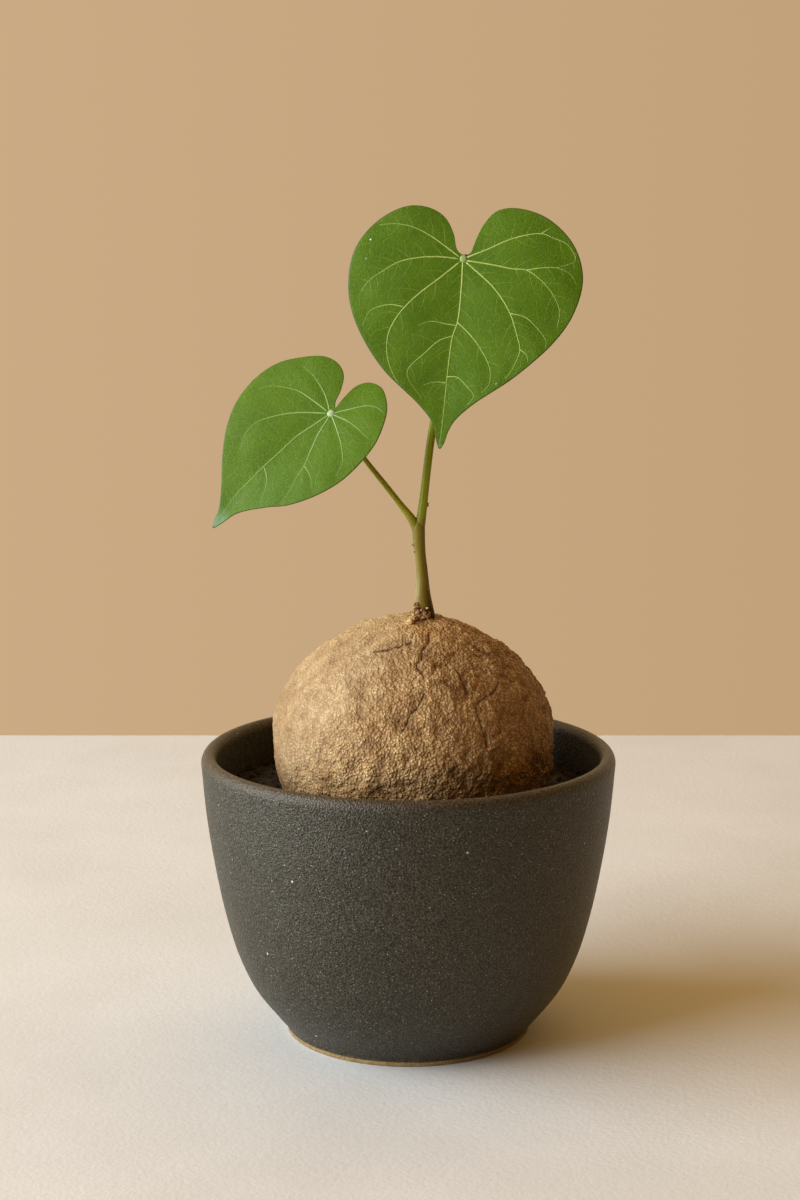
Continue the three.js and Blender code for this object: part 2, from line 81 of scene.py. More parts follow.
# Caudex: radius from its middle by latitude, points are [degrees above its equator, radius]
CAUDEX_MIDDLE = np.array([1.1, 0, 70.4])
CAUDEX_PROFILE = [[-90, 31], [-45, 32.2], [0, 33.6], [20, 34], [45, 32.7], [60, 32], [90, 32]]
# Its radius at the soil's level, with its lumps
CAUDEX_AT_SOIL = 34.2
# Its skin: corners round it, the latitude down to which it is fine, and rings below and above that
CAUDEX_SIDES = 480
BURIED_FROM = -26
BURIED_RINGS = 26
BARE_RINGS = 172
# Lumps of its bark: a wave's direction and rate round the ball, its phase
CAUDEX_WAVES = [[8, 4, 6, 0.4], [-5, 11, 3, 2.1], [6, -9, 14, 4], [17, 8, -9, 1.2], [-13, 14, 15, 5.3],
                [19, -15, 16, 3.1]]
CAUDEX_WAVE_HEIGHT = 0.1
# Rise of its crown round the stem: height, and degrees over which it falls off
CROWN_RISE = 0.8
CROWN_WIDTH = 7
# Orange-tan patch in front of the stem: its latitude and longitude, its half sizes
CROWN_PATCH = [70.5, -72]
CROWN_PATCH_SIZE = [3.4, 2.6, 1.6]
# The bark is smooth at its upper left and grows rough from one value of x - 0.9 z to another
SMOOTH_SLANT = -0.9
SMOOTH_TO = -98
ROUGH_FROM = -76
# Painted shade on its right and on its lit left, where it begins and is full, in x, and painted light on its
# top, in z
PAINTED_SHADE_RIGHT = [12, 34]
PAINTED_SHADE_LEFT = [-24, -33]
PAINTED_LIGHT_TOP = [95, 102]
# Cracks in the bark, points are [latitude, longitude]
CRACKS = [
    [[68, -72], [62, -76], [56.5, -83], [52, -84], [47.5, -88], [43.4, -85]],
    [[45.2, -65], [39.7, -64.3], [33.8, -62.6]],
    [[35, -44], [32.3, -48.5], [27.6, -61], [21, -60.8], [12.3, -59.5]],
    [[34, -85], [29, -87.5], [25.6, -91], [19.3, -94]],
    [[62, -92.6], [57.3, -107], [55, -118]],
    [[58, -40], [50, -33], [41, -31]],
    [[63, 10], [55, 17], [49, 18], [42, 25], [37, 25]],
    [[66, 118], [60, 120], [54, 126], [49, 127], [43, 125]],
    [[44, 152], [39, 148], [34, 148], [30, 143]],
    [[38, 72], [33, 74], [27, 73], [21, 77], [15, 77]],
]
CRACK_WIDTH = 0.5

# Roots under the caudex, points are [radius, height, bar radius]
ROOTS = 5
ROOT_ROUTE = [[9, 45, 2.4], [12, 36, 1.8], [14, 27, 1.2], [17, 16, 0.7]]
ROOT_SPREAD = 0.15
ROOT_TWIST = 12

# Stem and petioles: each point is [x, y, z, radius]
STEM = [[5, -2, 98.6, 2], [4.25, -2, 102, 2.2], [3.42, -2, 106.5, 2.08], [3.38, -2, 109, 1.72],
        [3.34, -2, 111.7, 1.45], [3.13, -2, 114.3, 1.35], [2.8, -2, 117.5, 1.31], [2.5, -2, 120.4, 1.46],
        [2.42, -2, 122.5, 1.52], [2.35, -2, 124.1, 1.5], [2.3, -2, 125.2, 1.1]]
STEM_SCARS = [[1.2, -2.2, 119.6, 0.42], [1.6, -2.2, 117.9, 0.38], [4.7, -3, 109.2, 0.3]]
PETIOLE_LARGE = [[2.6, -2, 123.2, 1.25], [3.1, -2, 126.6, 1.12], [3.8, -1.3, 132.4, 1],
                 [4.5, -0.3, 138.4, 0.97], [5.3, 1, 144.3, 0.95], [8.6, 4, 162.9, 0.88],
                 [11.4, 4.4, 178, 0.85], [12.3, 3, 184, 0.9]]
PETIOLE_SMALL = [[2.3, -2, 122.8, 1.3], [0.9, -2, 125.6, 1.05], [-1.9, -1.2, 129.2, 0.76],
                 [-5.4, -0.4, 133.6, 0.69], [-10, 0.2, 139.3, 0.61], [-14.3, 0.2, 145.3, 0.56],
                 [-17, -1.2, 149, 0.6]]
PETIOLE_KNOT = [4.55, -1.7, 129.2, 0.34]
# Where a petiole meets the back of its blade: distance below the boss, radius
PETIOLE_SEAT = [[-1.35, 0.85], [-0.75, 0.98], [-0.25, 1.2]]
FORK_HEIGHT = 125.5

# Blades: half their thickness, at the rim too, and the corners and rings of their skin
BLADE_HALF = 0.2
BLADE_EDGE_HALF = 0.13
BLADE_EDGE_POINTS = 384
BLADE_RINGS = 40
PILLOW_HEIGHT = 0.12
PILLOW_REACH = 1.7
RIPPLE = 0.2
RIPPLE_REACH = 25
# Finish numbers of the leaf: upper face, lower face, larger veins, twigs, boss, its nub, dots, and the rim
# painted dark as shade on the blade's edge
UPPER, UNDER, LARGE_VEINS, TWIGS, BOSS, NUB, DOT, PAINTED_RIM_SHADE = range(8)
# Half sizes of the boss and of the nub on it, and how far off its middle the nub sits
BOSS_SIZE = [0.9, 0.9, 0.36]
NUB_OFF = [-0.95, 0.35]
NUB_SIZE = [0.3, 0.22, 0.3]

LARGE_LEAF = {
    "junction": [12.6, -1.5, 186.5], "roll": -7.6, "tilt": -16, "yaw": 0, "middle": [6, 0],
    "boss": [-0.2, 0.1],
    "fold": 0.16, "crease": 2.5, "bow": 0.0055, "droop": 0.0035, "droop_from": 12, "lobe": 0.004,
    "outline": [
        [-1.2, 0], [-1.8, 1.5], [-5.5, 2.5], [-9.5, 4], [-12.6, 6.5], [-13.8, 11], [-12.2, 18.5], [-7, 25],
        [0.5, 28.2], [9, 27.2], [16.5, 23.5], [25.8, 15.5], [34, 6], [37.5, 3], [40, 1.9], [43, 1.2],
        [44.2, 0.4], [42.8, -0.5], [39.5, -1.6], [37.5, -2.9], [34.8, -5.8], [27.5, -15.5], [17.5, -23],
        [9.5, -25.6], [1, -25.2], [-6.3, -21], [-10.8, -14.5], [-11.2, -9.5], [-9.5, -5.5], [-6, -3],
        [-2, -1.5]],
    # Main veins from the boss, with the midrib first, and the forks that leave them
    "main": [
        [[0, 0], [6.2, 0.5], [14.8, 0.7], [18.1, 0], [24.2, -0.1], [31.3, 0.1], [39.2, 0.3], [43.3, 0.3]],
        [[0.5, 0.8], [3.3, 4.8], [6.1, 8.3], [11.2, 12.4], [16.7, 14.9], [19.4, 15.8], [23.2, 15],
         [26.6, 13.4]],
        [[0.1, 1], [0.4, 6.8], [0.8, 11.7], [0.7, 14.9], [2.7, 18.7], [5.9, 22], [9.3, 23.8], [13, 23.7]],
        [[-0.6, 0.8], [-3.4, 5.9], [-6.3, 10.8], [-8.4, 17.3], [-7.8, 20.2], [-6.7, 23.6], [-3.3, 25.9],
         [-0.8, 21.9]],
        [[0.6, -0.6], [5, -4.7], [9.3, -8.9], [13.2, -12], [16.9, -14], [20.7, -14.9], [25.4, -14.2],
         [29.1, -12.3], [30.9, -10.9]],
        [[-0.1, -0.9], [0.2, -6.1], [1.2, -10.8], [2.7, -14.7], [5.2, -17.9], [7.8, -20.8], [10.6, -22.4]],
        [[-0.5, -0.8], [-2.8, -4.9], [-4.6, -8.4], [-6, -12.6], [-6.2, -16.7], [-5.5, -20.2]],
    ],
    "forks": [
        [[14.8, 0.7], [17.6, 4.2], [21.3, 7.5], [24.7, 9.5], [28.2, 9.8], [30.4, 8.3]],
        [[18.1, 0], [19.5, -2.8], [22.6, -5.6], [27.5, -9.3], [29.8, -8.6], [33.6, -4.9]],
        [[11.3, 12.6], [11.7, 15.9], [13.7, 18.9], [16.6, 21.5], [18.6, 21.6]],
        [[19.4, 15.8], [20.4, 17.4], [22.3, 18.1]],
        [[0.7, 14.9], [-0.2, 18], [-0.8, 21.9], [0.3, 25.3], [2.6, 27]],
        [[-8.4, 17.3], [-10.4, 19.5]],
        [[13, -12.1], [12.9, -15.3], [13.8, -18], [15, -19.8], [18.6, -21]],
        [[27.6, -0.1], [27.5, 2.3], [29.2, 4.6], [31.4, 6.6], [33.5, 5.5]],
        [[29, 0.1], [29.2, -2.7], [30.3, -5.3]],
        [[15.6, 0.5], [15.5, -2.5], [15.5, -5.7], [16.9, -8.3]],
    ],
    "dots": [[-1.7, -21.8, 0.24], [2.9, -22.2, 0.14], [27.9, 11.4, 0.14]],
    "seed": 4,
}

SMALL_LEAF = {
    "junction": [-18.1, -5, 151.5], "roll": -42, "tilt": -28, "yaw": -14, "middle": [5, 1.6],
    "boss": [0.3, 0.4],
    "fold": 0.16, "crease": 2, "bow": 0.006, "droop": 0.0045, "droop_from": 12, "lobe": 0.005,
    "outline": [
        [-1.4, 0.1], [-2.2, 0], [-5.3, -0.5], [-8.5, -0.6], [-11.2, 0.8], [-12.4, 4], [-11, 7.7],
        [-8.6, 10.5], [-2.7, 13.9], [3.5, 15.2], [10, 15.2], [16, 13.7], [22, 10.6], [27, 6.2], [32.5, 2],
        [36.5, 0.9], [38.6, 0.1], [37.2, -0.9], [34.6, -2.1], [29.8, -6.2], [25.2, -10.9], [20, -15.3],
        [14, -18.4], [7.5, -19.6], [1, -18.5], [-4.5, -15], [-8.2, -11.3], [-9.2, -8], [-8.4, -5],
        [-5.4, -2.5], [-2.4, -1.1]],
    "main": [
        [[0.3, 0.4], [5.5, -0.5], [9.8, -1.2], [15.5, -1.2], [20.3, -1.3], [25.3, -1.3], [29.9, -1.4],
         [34.1, -0.6], [37.4, 0]],
        [[0.7, 0.6], [5.8, 2.2], [9.7, 4.1], [13.3, 5.9], [16.4, 6.8], [20, 8.1], [23.3, 9]],
        [[0.5, 1], [2.2, 5.2], [3.9, 8.6], [6.4, 12], [9.6, 13.6]],
        [[0.1, 1], [-1.2, 5], [-1.6, 8.3], [-1.8, 12.3]],
        [[-0.2, 0.8], [-3.6, 3], [-6.9, 5.3], [-8.4, 7.8], [-8.4, 9.8]],
        [[0.7, -0.1], [4.6, -4.3], [7.3, -6.7], [10.1, -8.6], [12.9, -10.1], [14.8, -10.7], [18, -10.4],
         [21.6, -8.4]],
        [[0.5, -0.4], [1.2, -5.4], [2, -9.1], [3.5, -12.1], [5.8, -15.1], [8.1, -16.7]],
        [[0, -0.4], [-1.7, -3.8], [-2.6, -6.9], [-3, -10.2], [-2.8, -13.2]],
    ],
    "forks": [
        [[20.2, -1.2], [21.4, 1.2], [23.5, 3.1], [26.5, 4.5]],
        [[13.3, 6.1], [14.1, 9.3], [15.7, 11.4]],
    ],
    "dots": [],
    "seed": 9,
}

LEAF_GREEN = (0.1, 0.195, 0.008)

# Vein strands: half widths at root and tip, and how far they stand out of the face
MAIN_VEIN = {"root": 0.19, "tip": 0.08, "stand": 0.08}
FORK_VEIN = {"root": 0.13, "tip": 0.055, "stand": 0.05}
TWIG_VEIN = {"root": 0.06, "tip": 0.03, "stand": 0.025}
TWIG_SPACING = 3.6
TWIG_STEP = 0.45
TWIG_STEPS = 17
TWIG_SHORTEST = 6
TWIG_CLEAR = 0.75
TWIG_MEETS = 0.3
# Degrees from its vein at which a twig leaves, and how far it bends back at a step
TWIG_TURN = [52, 66]
TWIG_BEND = [0, 4.5]

# Dry crust round the stem's foot. Turns are in degrees, 0 at the right and -90 at the front
FOOT_OF_STEM = np.array([4.6, -2, 102])
CRUMBS = 46
CRUST_TURN = [-115, -290]
CRUST_THICKEST = -135
# Spread of the crumbs about the thickest place in degrees, and how far from the stem they lie
CRUST_GATHERED = 24
CRUST_REACH = [1.8, 3.1]
CRUMB_SIZE = [0.3, 0.55]
CRUMB_TAN_SHARE = 0.2
SCALE_REACH = 2.5
SCALE_CURL = 0.35
# Lumps heaped at the left of the stem's foot: x, y, z, half width, half height, finish (0 dark, 1 tan)
CRUST_LUMPS = [
    [0.3, -7.5, 102.1, 1.05, 0.7, 1], [0.9, -6.1, 102.5, 0.8, 0.6, 1], [1.4, -5, 102.9, 0.6, 0.65, 1],
    [1.5, -4.3, 104.7, 0.5, 0.5, 1], [1.7, -4.3, 103.9, 0.5, 0.45, 0], [1.35, -4, 105.5, 0.34, 0.34, 0],
    [2, -3.8, 105.8, 0.4, 0.35, 0], [2.2, -4, 104.9, 0.5, 0.5, 0], [2.3, -4.6, 103.8, 0.65, 0.6, 0],
    [2.6, -5, 102.8, 0.7, 0.6, 0], [1.9, -6, 102.3, 0.5, 0.4, 0], [3.3, -4.6, 104.4, 0.55, 0.5, 0],
    [3.7, -4.9, 103.5, 0.6, 0.6, 0], [3.4, -5.3, 102.6, 0.7, 0.45, 0], [4.4, -4.3, 104.7, 0.3, 0.3, 1],
    [4.4, -5, 102.9, 0.65, 0.6, 0], [4.8, -4.4, 103.6, 0.45, 0.5, 0]]
# Scales: turn round the stem, height, width, lean and finish
STANDING_SCALES = [
    [186, 2.2, 1.4, 0.5, 1], [200, 2, 1.2, 0.8, 0], [164, 2.4, 1, 0.2, 0], [250, 2.2, 1.5, 0.7, 0],
    [75, 2.6, 1.6, 0.4, 0], [110, 2, 1.5, 0.6, 1], [222, 2.4, 1.2, 0.4, 0]]

# Camera: the photo's own place and lens, looking slightly down at the pot
CAMERA_PLACE = [-2, -563.6, 209.4]
CAMERA_SEES_FROM = 10
CAMERA_PITCH = 10.4
CAMERA_LENS = 72
CAMERA_SENSOR = 36

# Table
TABLE_BACK_EDGE = 300
TABLE_FRONT_EDGE = -1800
TABLE_HALF_WIDTH = 1800

# Light: turn from the left to the front, height in degrees, distance, side of the square, watts, colour
LIGHT_AIM = [0, 0, 80]
KEY_LIGHT = [15, 16, 1600, 1800, 88, (0.746, 0.871, 1.0)]
# Room: the wall the camera sees at the left and right, and the light that comes from behind and above
WALL_LEFT = (0.62, 0.43, 0.25)
WALL_RIGHT = (0.50, 0.335, 0.18)
LIGHT_BEHIND = (0.905, 0.72, 0.435)
LIGHT_ABOVE = (0.43, 0.218, 0.024)


def curve_through(points, steps, closed=False):
    """Points on a smooth curve through the given ones, `steps` to each span.

    A point may carry more than its place, such as a radius, and that changes smoothly too."""
    p = np.asarray(points, float)
    if closed:
        p = np.vstack([p[-1:], p, p[:2]])
    else:
        p = np.vstack([2 * p[0] - p[1], p, 2 * p[-1] - p[-2]])
    t = np.linspace(0, 1, steps, endpoint=False)[:, None]
    spans = []
    for a, b, c, d in zip(p, p[1:], p[2:], p[3:]):
        pairs = ((a, b), (b, c), (c, d))
        before, here, after = (math.sqrt(max(np.linalg.norm(y - x), 1e-9)) for x, y in pairs)
        leaving = ((b - a) / before - (c - a) / (before + here) + (c - b) / here) * here
        arriving = ((c - b) / here - (d - b) / (here + after) + (d - c) / after) * here
        square = (3 * (c - b) - 2 * leaving - arriving) * t**2
        cube = (leaving + arriving - 2 * (c - b)) * t**3
        spans.append(b + leaving * t + square + cube)
    curve = np.vstack(spans)
    return curve if closed else np.vstack([curve, p[-2:-1]])


def evenly(points, count, closed=False):
    """The same line with `count` points at equal steps."""
    p = np.asarray(points, float)
    if closed:
        p = np.vstack([p, p[:1]])
    travelled = np.concatenate([[0], np.cumsum(np.linalg.norm(np.diff(p, axis=0), axis=1))])
    stops = np.linspace(0, travelled[-1], count, endpoint=not closed)
    return np.stack([np.interp(stops, travelled, column) for column in p.T], axis=1)


def level_turns(sides):
    """Unit steps round a vertical axis, as rows of x, y, z."""
    angle = np.linspace(0, 2 * math.pi, sides, endpoint=False)
    return np.stack([np.cos(angle), np.sin(angle), np.zeros(sides)], axis=1)


def loft(rings, start, end):
    """A closed skin over rings of equal count, drawn in to a point at each end."""
    rings = np.asarray(rings)
    rows, sides = rings.shape[:2]
    corners = np.vstack([rings.reshape(-1, 3), [start], [end]])
    here = np.arange(rows * sides).reshape(rows, sides)
    beside = np.roll(here, -1, axis=1)
    walls = np.stack([here[:-1], beside[:-1], beside[1:], here[1:]], axis=-1).reshape(-1, 4)
    first = np.stack([beside[0], here[0], np.full(sides, rows * sides)], axis=-1)
    last = np.stack([here[-1], beside[-1], np.full(sides, rows * sides + 1)], axis=-1)
    return corners, [*first.tolist(), *walls.tolist(), *last.tolist()]


def bar(route, sides, steps):
    """A round bar along a smooth route of x, y, z and radius, with domed ends.

    Beside the skin it gives each corner's place on the bar pulled straight, for streaks that follow it."""
    line = curve_through(route, steps)
    places, radii = line[:, :3], line[:, 3]
    ways = np.gradient(places, axis=0)
    ways /= np.linalg.norm(ways, axis=1)[:, None]
    across = np.cross([0, 1, 0], ways[0])
    angle = np.linspace(0, 2 * math.pi, sides, endpoint=False)[:, None]
    rings = []
    for place, way, radius in zip(places, ways, radii):
        across = across - way * across.dot(way)
        across /= np.linalg.norm(across)
        rings.append(place + radius * (np.cos(angle) * across + np.sin(angle) * np.cross(way, across)))
    dome, shoulder, shoulder_width = 0.5, 0.35, 0.75
    low_cap = places[0] + (rings[0] - places[0]) * shoulder_width - ways[0] * radii[0] * shoulder
    high_cap = places[-1] + (rings[-1] - places[-1]) * shoulder_width + ways[-1] * radii[-1] * shoulder
    rings = [low_cap, *rings, high_cap]
    skin = loft(rings, places[0] - ways[0] * radii[0] * dome, places[-1] + ways[-1] * radii[-1] * dome)
    travelled = np.concatenate([[0], np.cumsum(np.linalg.norm(np.diff(places, axis=0), axis=1))])
    travelled = np.concatenate([travelled[:1], travelled, travelled[-1:]])
    across = np.hstack([np.cos(angle), np.sin(angle)])[None] * np.mean(radii)
    along = np.repeat(travelled[:, None], sides, axis=1)
    straight = np.dstack([np.repeat(across, len(rings), axis=0), along])
    return skin, np.vstack([straight.reshape(-1, 3), [0, 0, 0], [0, 0, travelled[-1]]])


def crumb(draw, place, size, rough=0.25, detail=2):
    """An irregular lump: a faceted ball pressed and dented, of the given half sizes."""
    ball = bmesh.new()
    bmesh.ops.create_icosphere(ball, subdivisions=detail, radius=1)
    angle = draw.uniform(0, math.tau)
    turn = Matrix.Rotation(angle, 3, Vector([draw.gauss(0, 1) for _ in range(3)]).normalized())
    shift = Vector([draw.uniform(0, 50) for _ in range(3)])
    corners = []
    for vertex in ball.verts:
        dent = noise.noise(vertex.co * 1.3 + shift) + 0.5 * noise.noise(vertex.co * 3 + shift)
        dent = 1 + rough * dent
        pressed = Vector(a * b for a, b in zip(turn @ vertex.co, size))
        corners.append(np.array(place) + np.array(pressed * dent))
    faces = [[v.index for v in face.verts] for face in ball.faces]
    ball.free()
    return np.array(corners), faces


class Shape:
    """Corners and faces of one piece while it is put together, in millimetres.

    Each part of it has the number of its finish, and each corner may carry named values."""

    def __init__(self):
        self.corners, self.faces, self.finishes, self.values = [], [], [], []
        self.count = 0

    def add(self, part, finish=0, **values):
        corners, faces = part
        self.corners.append(np.asarray(corners, float))
        self.faces += [[corner + self.count for corner in face] for face in faces]
        self.finishes += [finish] * len(faces) if np.isscalar(finish) else list(finish)
        self.values.append({name: np.asarray(value, float) for name, value in values.items()})
        self.count += len(corners)

    def named_values(self):
        """Each named value for all the corners, 0 where a part has none."""
        found = {}
        for name in sorted({name for part in self.values for name in part}):
            wide = next(part[name].shape[1:] for part in self.values if name in part)
            blank = [np.zeros((len(c), *wide)) for c in self.corners]
            found[name] = np.vstack([
                part.get(name, empty).reshape(len(empty), -1) for part, empty in zip(self.values, blank)])
        return found


def made(name, shape, finishes):
    """The shape as a smooth-shaded mesh object in the scene, in metres, its faces pointing out."""
    mesh = bpy.data.meshes.new(name)
    mesh.from_pydata((np.vstack(shape.corners) * MM).tolist(), [], shape.faces)
    mesh.polygons.foreach_set("material_index", shape.finishes)
    mesh.polygons.foreach_set("use_smooth", [True] * len(shape.faces))
    for key, value in shape.named_values().items():
        kind, slot = ("FLOAT", "value") if value.shape[1] == 1 else ("FLOAT_VECTOR", "vector")
        mesh.attributes.new(key, kind, "POINT").data.foreach_set(slot, value.astype(np.float32).ravel())
    facing = bmesh.new()
    facing.from_mesh(mesh)
    bmesh.ops.recalc_face_normals(facing, faces=facing.faces)
    facing.to_mesh(mesh)
    facing.free()
    for finish in finishes:
        mesh.materials.append(finish)
    piece = bpy.data.objects.new(name, mesh)
    bpy.context.scene.collection.objects.link(piece)
    return piece


def stands_for(piece, node):
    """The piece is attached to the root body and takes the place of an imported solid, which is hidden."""
    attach(piece, "root")
    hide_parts(node)


class Tree:
    """Adds nodes to a node tree. An input given as a socket is linked, and any other is set."""

    def __init__(self, tree):
        self.tree = tree

    def node(self, kind, inputs=(), **settings):
        added = self.tree.nodes.new(kind)
        for name, value in settings.items():
            setattr(added, name, value)
        for name, value in dict(inputs).items():
            if isinstance(value, bpy.types.NodeSocket):
                self.tree.links.new(value, added.inputs[name])
            else:
                added.inputs[name].default_value = value
        return added

    def math(self, operation, *values):
        return self.node("ShaderNodeMath", enumerate(values), operation=operation).outputs[0]

    def vector(self, operation, *values):
        return self.node("ShaderNodeVectorMath", enumerate(values), operation=operation).outputs[0]

    def scaled(self, place, rate):
        """The place times one number."""
        inputs = {"Vector": place, "Scale": rate}
        return self.node("ShaderNodeVectorMath", inputs, operation="SCALE").outputs[0]

    def repeats(self, size):
        """The scale of a pattern whose forms are about `size` millimetres wide."""
        if isinstance(size, bpy.types.NodeSocket):
            return self.math("DIVIDE", 1 / MM, size)
        return 1 / MM / size

    def noise(self, place, size, detail=2.0, roughness=0.5):
        """A smooth random value near 0.5, changing over `size` millimetres."""
        inputs = {"Vector": place, "Scale": self.repeats(size), "Detail": detail, "Roughness": roughness}
        return self.node("ShaderNodeTexNoise", inputs).outputs[0]

    def bending(self, place, scale, detail=2.0):
        """A smooth random way off a place, up to about half a unit long."""
        inputs = {"Vector": place, "Scale": scale, "Detail": detail}
        ways = self.node("ShaderNodeTexNoise", inputs).outputs["Color"]
        return self.vector("SUBTRACT", ways, (0.5, 0.5, 0.5))

    def cells(self, place, size, feature="F1", dimensions="3D"):
        """A Voronoi pattern with cells about `size` millimetres wide."""
        return self.node("ShaderNodeTexVoronoi", {"Vector": place, "Scale": self.repeats(size)},
                         feature=feature, voronoi_dimensions=dimensions)

    def band(self, value, low, high, start=0.0, end=1.0, smooth=True):
        """From start to end as the value goes from low to high, held beyond."""
        return self.node("ShaderNodeMapRange", {0: value, 1: low, 2: high, 3: start, 4: end},
                         interpolation_type="SMOOTHSTEP" if smooth else "LINEAR").outputs[0]

    def blend(self, share, first, second, mode="MIX"):
        """Two colours blended by a share."""
        first, second = (c if isinstance(c, bpy.types.NodeSocket) else (*c, 1) for c in (first, second))
        return self.node("ShaderNodeMix", {0: share, 6: first, 7: second},
                         data_type="RGBA", blend_type=mode).outputs[2]

    def height_of(self, place):
        return self.node("ShaderNodeSeparateXYZ", {0: place}).outputs[2]

    def group(self, made_group, **inputs):
        return self.node("ShaderNodeGroup", {k.replace("_", " "): v for k, v in inputs.items()},
                         node_tree=made_group)


def node_group(name, kind, inputs, outputs):
    """An empty node group and the helper that fills it. A socket is given by its kind or its first value."""
    group = bpy.data.node_groups.new(name, kind)
    for in_out, sockets in (("INPUT", inputs), ("OUTPUT", outputs)):
        for label, given in sockets.items():
            holds = given if isinstance(given, str) else {float: "Float", int: "Int"}[type(given)]
            socket = group.interface.new_socket(label, in_out=in_out, socket_type="NodeSocket" + holds)
            if given != holds:
                socket.default_value = given
    tree = Tree(group)
    return group, tree, tree.node("NodeGroupInput").outputs, tree.node("NodeGroupOutput").inputs


def grain_group():
    """Relief of a rough surface: soft lumps with finer grains on them."""
    group, tree, given, out = node_group(
        "grain", "ShaderNodeTree", {"Place": "Vector", "Size": 1.0, "Grains": 0.5}, {"Height": "Float"})
    lumps = tree.noise(given["Place"], given["Size"], 4, 0.6)
    grains = tree.cells(given["Place"], tree.math("MULTIPLY", given["Size"], 0.5)).outputs["Distance"]
    height = tree.math("SUBTRACT", lumps, tree.math("MULTIPLY", grains, given["Grains"]))
    tree.tree.links.new(height, out["Height"])
    return group


def speck_group():
    """Small round specks, in a share of the cells of a fine pattern."""
    group, tree, given, out = node_group(
        "specks", "ShaderNodeTree", {"Place": "Vector", "Spacing": 1.0, "Share": 0.3, "Radius": 0.3},
        {"Mask": "Float"})
    cells = tree.cells(given["Place"], given["Spacing"])
    pick = tree.node("ShaderNodeSeparateColor", {0: cells.outputs["Color"]}).outputs[0]
    chosen = tree.math("LESS_THAN", pick, given["Share"])
    core = tree.math("MULTIPLY", given["Radius"], 0.6)
    inside = tree.band(cells.outputs["Distance"], core, given["Radius"], 1.0, 0.0)
    tree.tree.links.new(tree.math("MULTIPLY", chosen, inside), out["Mask"])
    return group


def mottle_group():
    """Two colours in soft patches."""
    group, tree, given, out = node_group(
        "mottle", "ShaderNodeTree",
        {"Place": "Vector", "Size": 5.0, "Contrast": 0.15, "First": "Color", "Second": "Color"},
        {"Color": "Color"})
    patches = tree.noise(given["Place"], given["Size"], 5, 0.6)
    low = tree.math("SUBTRACT", 0.5, given["Contrast"])
    high = tree.math("ADD", 0.5, given["Contrast"])
    both = tree.blend(tree.band(patches, low, high), given["First"], given["Second"])
    tree.tree.links.new(both, out["Color"])
    return group


GRAIN = grain_group()
SPECKS = speck_group()
MOTTLE = mottle_group()


class Finish:
    """A material while its nodes are added: its shader, the place of its pattern and its colour so far."""

    def __init__(self, name, **fixed):
        self.material = bpy.data.materials.new(name)
        self.material.use_nodes = True
        self.tree = Tree(self.material.node_tree)
        self.shader = self.material.node_tree.nodes["Principled BSDF"]
        for socket, value in fixed.items():
            self.shader.inputs[socket.replace("_", " ")].default_value = value
        self.place = self.tree.node("ShaderNodeTexCoord").outputs["Object"]
        self.color = None

    def over(self, share, tint, strength=1.0):
        """Lays a tint over the colour by a share, thinned by its strength."""
        if strength != 1.0:
            share = self.tree.math("MULTIPLY", share, strength)
        self.color = self.tree.blend(share, self.color, tint)

    def times(self, tint, share=1.0):
        """Multiplies the colour by a tint, by a share."""
        self.color = self.tree.blend(share, self.color, tint, "MULTIPLY")

    def carried(self, name, output="Fac"):
        """A value that the mesh carries at its corners."""
        return self.tree.node("ShaderNodeAttribute", attribute_name=name).outputs[output]

    def height(self):
        """How high over the table, in millimetres."""
        return self.tree.math("DIVIDE", self.tree.height_of(self.place), MM)

    def mottle(self, size, contrast, first, second):
        return self.tree.group(MOTTLE, Place=self.place, Size=size, Contrast=contrast,
                               First=(*first, 1), Second=(*second, 1)).outputs[0]

    def specks(self, spacing, share, radius):
        group = self.tree.group(SPECKS, Place=self.place, Spacing=spacing, Share=share, Radius=radius)
        return group.outputs[0]

    def grain(self, size, grains):
        return self.tree.group(GRAIN, Place=self.place, Size=size, Grains=grains).outputs[0]

    def patchy(self, size, low, high, detail=2.0):
        """A value that goes from low to high and back in soft patches, for the roughness."""
        return self.tree.band(self.tree.noise(self.place, size, detail), 0.3, 0.7, low, high)

    def done(self, relief, depth, roughness):
        """Links the colour, the relief of `depth` millimetres and the roughness to the shader."""
        bump = self.tree.node("ShaderNodeBump", {"Height": relief, "Distance": depth * MM, "Strength": 1.0})
        results = {"Base Color": self.color, "Roughness": roughness, "Normal": bump.outputs[0]}
        for name, value in results.items():
            self.tree.tree.links.new(value, self.shader.inputs[name])
        return self.material


def stoneware():
    """Half-matt dark stoneware, sandy with pale specks, browner at the rim, with bare clay at the foot."""
    f = Finish("stoneware", Specular_IOR_Level=0.55, Specular_Tint=(1, 0.85, 0.66, 1))
    tree = f.tree
    sand = f.grain(0.9, 0.9)
    f.color = f.mottle(0.42, 0.06, (0.0014, 0.0013, 0.0007), (0.0455, 0.0425, 0.029))
    f.times(f.mottle(26, 0.3, (0.94, 0.93, 0.9), (1.1, 1.08, 1.04)))
    for spacing, share, radius, tint, strength in STONE_SPECKS:
        f.over(f.specks(spacing, share, radius), tint, strength)
    height = f.height()
    wander = tree.math("MULTIPLY", tree.math("SUBTRACT", tree.noise(f.place, 4, 3), 0.5), 1.6)
    worn = tree.band(tree.math("ADD", height, wander), RIM_FROM, POT_HEIGHT, 0.0, 0.6)
    f.over(worn, f.mottle(0.6, 0.12, (0.022, 0.012, 0.005), (0.105, 0.062, 0.03)))
    low = tree.math("MULTIPLY_ADD", wander, 0.2, height)
    f.over(tree.band(low, CLAY_LINE + 0.1, CLAY_LINE + 0.5, 0.7, 0.0), (0.045, 0.027, 0.012))
    clay = f.mottle(1.2, 0.2, (0.23, 0.135, 0.04), (0.33, 0.215, 0.08))
    f.over(tree.band(low, CLAY_LINE - 0.12, CLAY_LINE + 0.12, 1.0, 0.0), clay)
    return f.done(sand, 0.16, tree.band(sand, 0.0, 0.5, 0.5, 0.32))


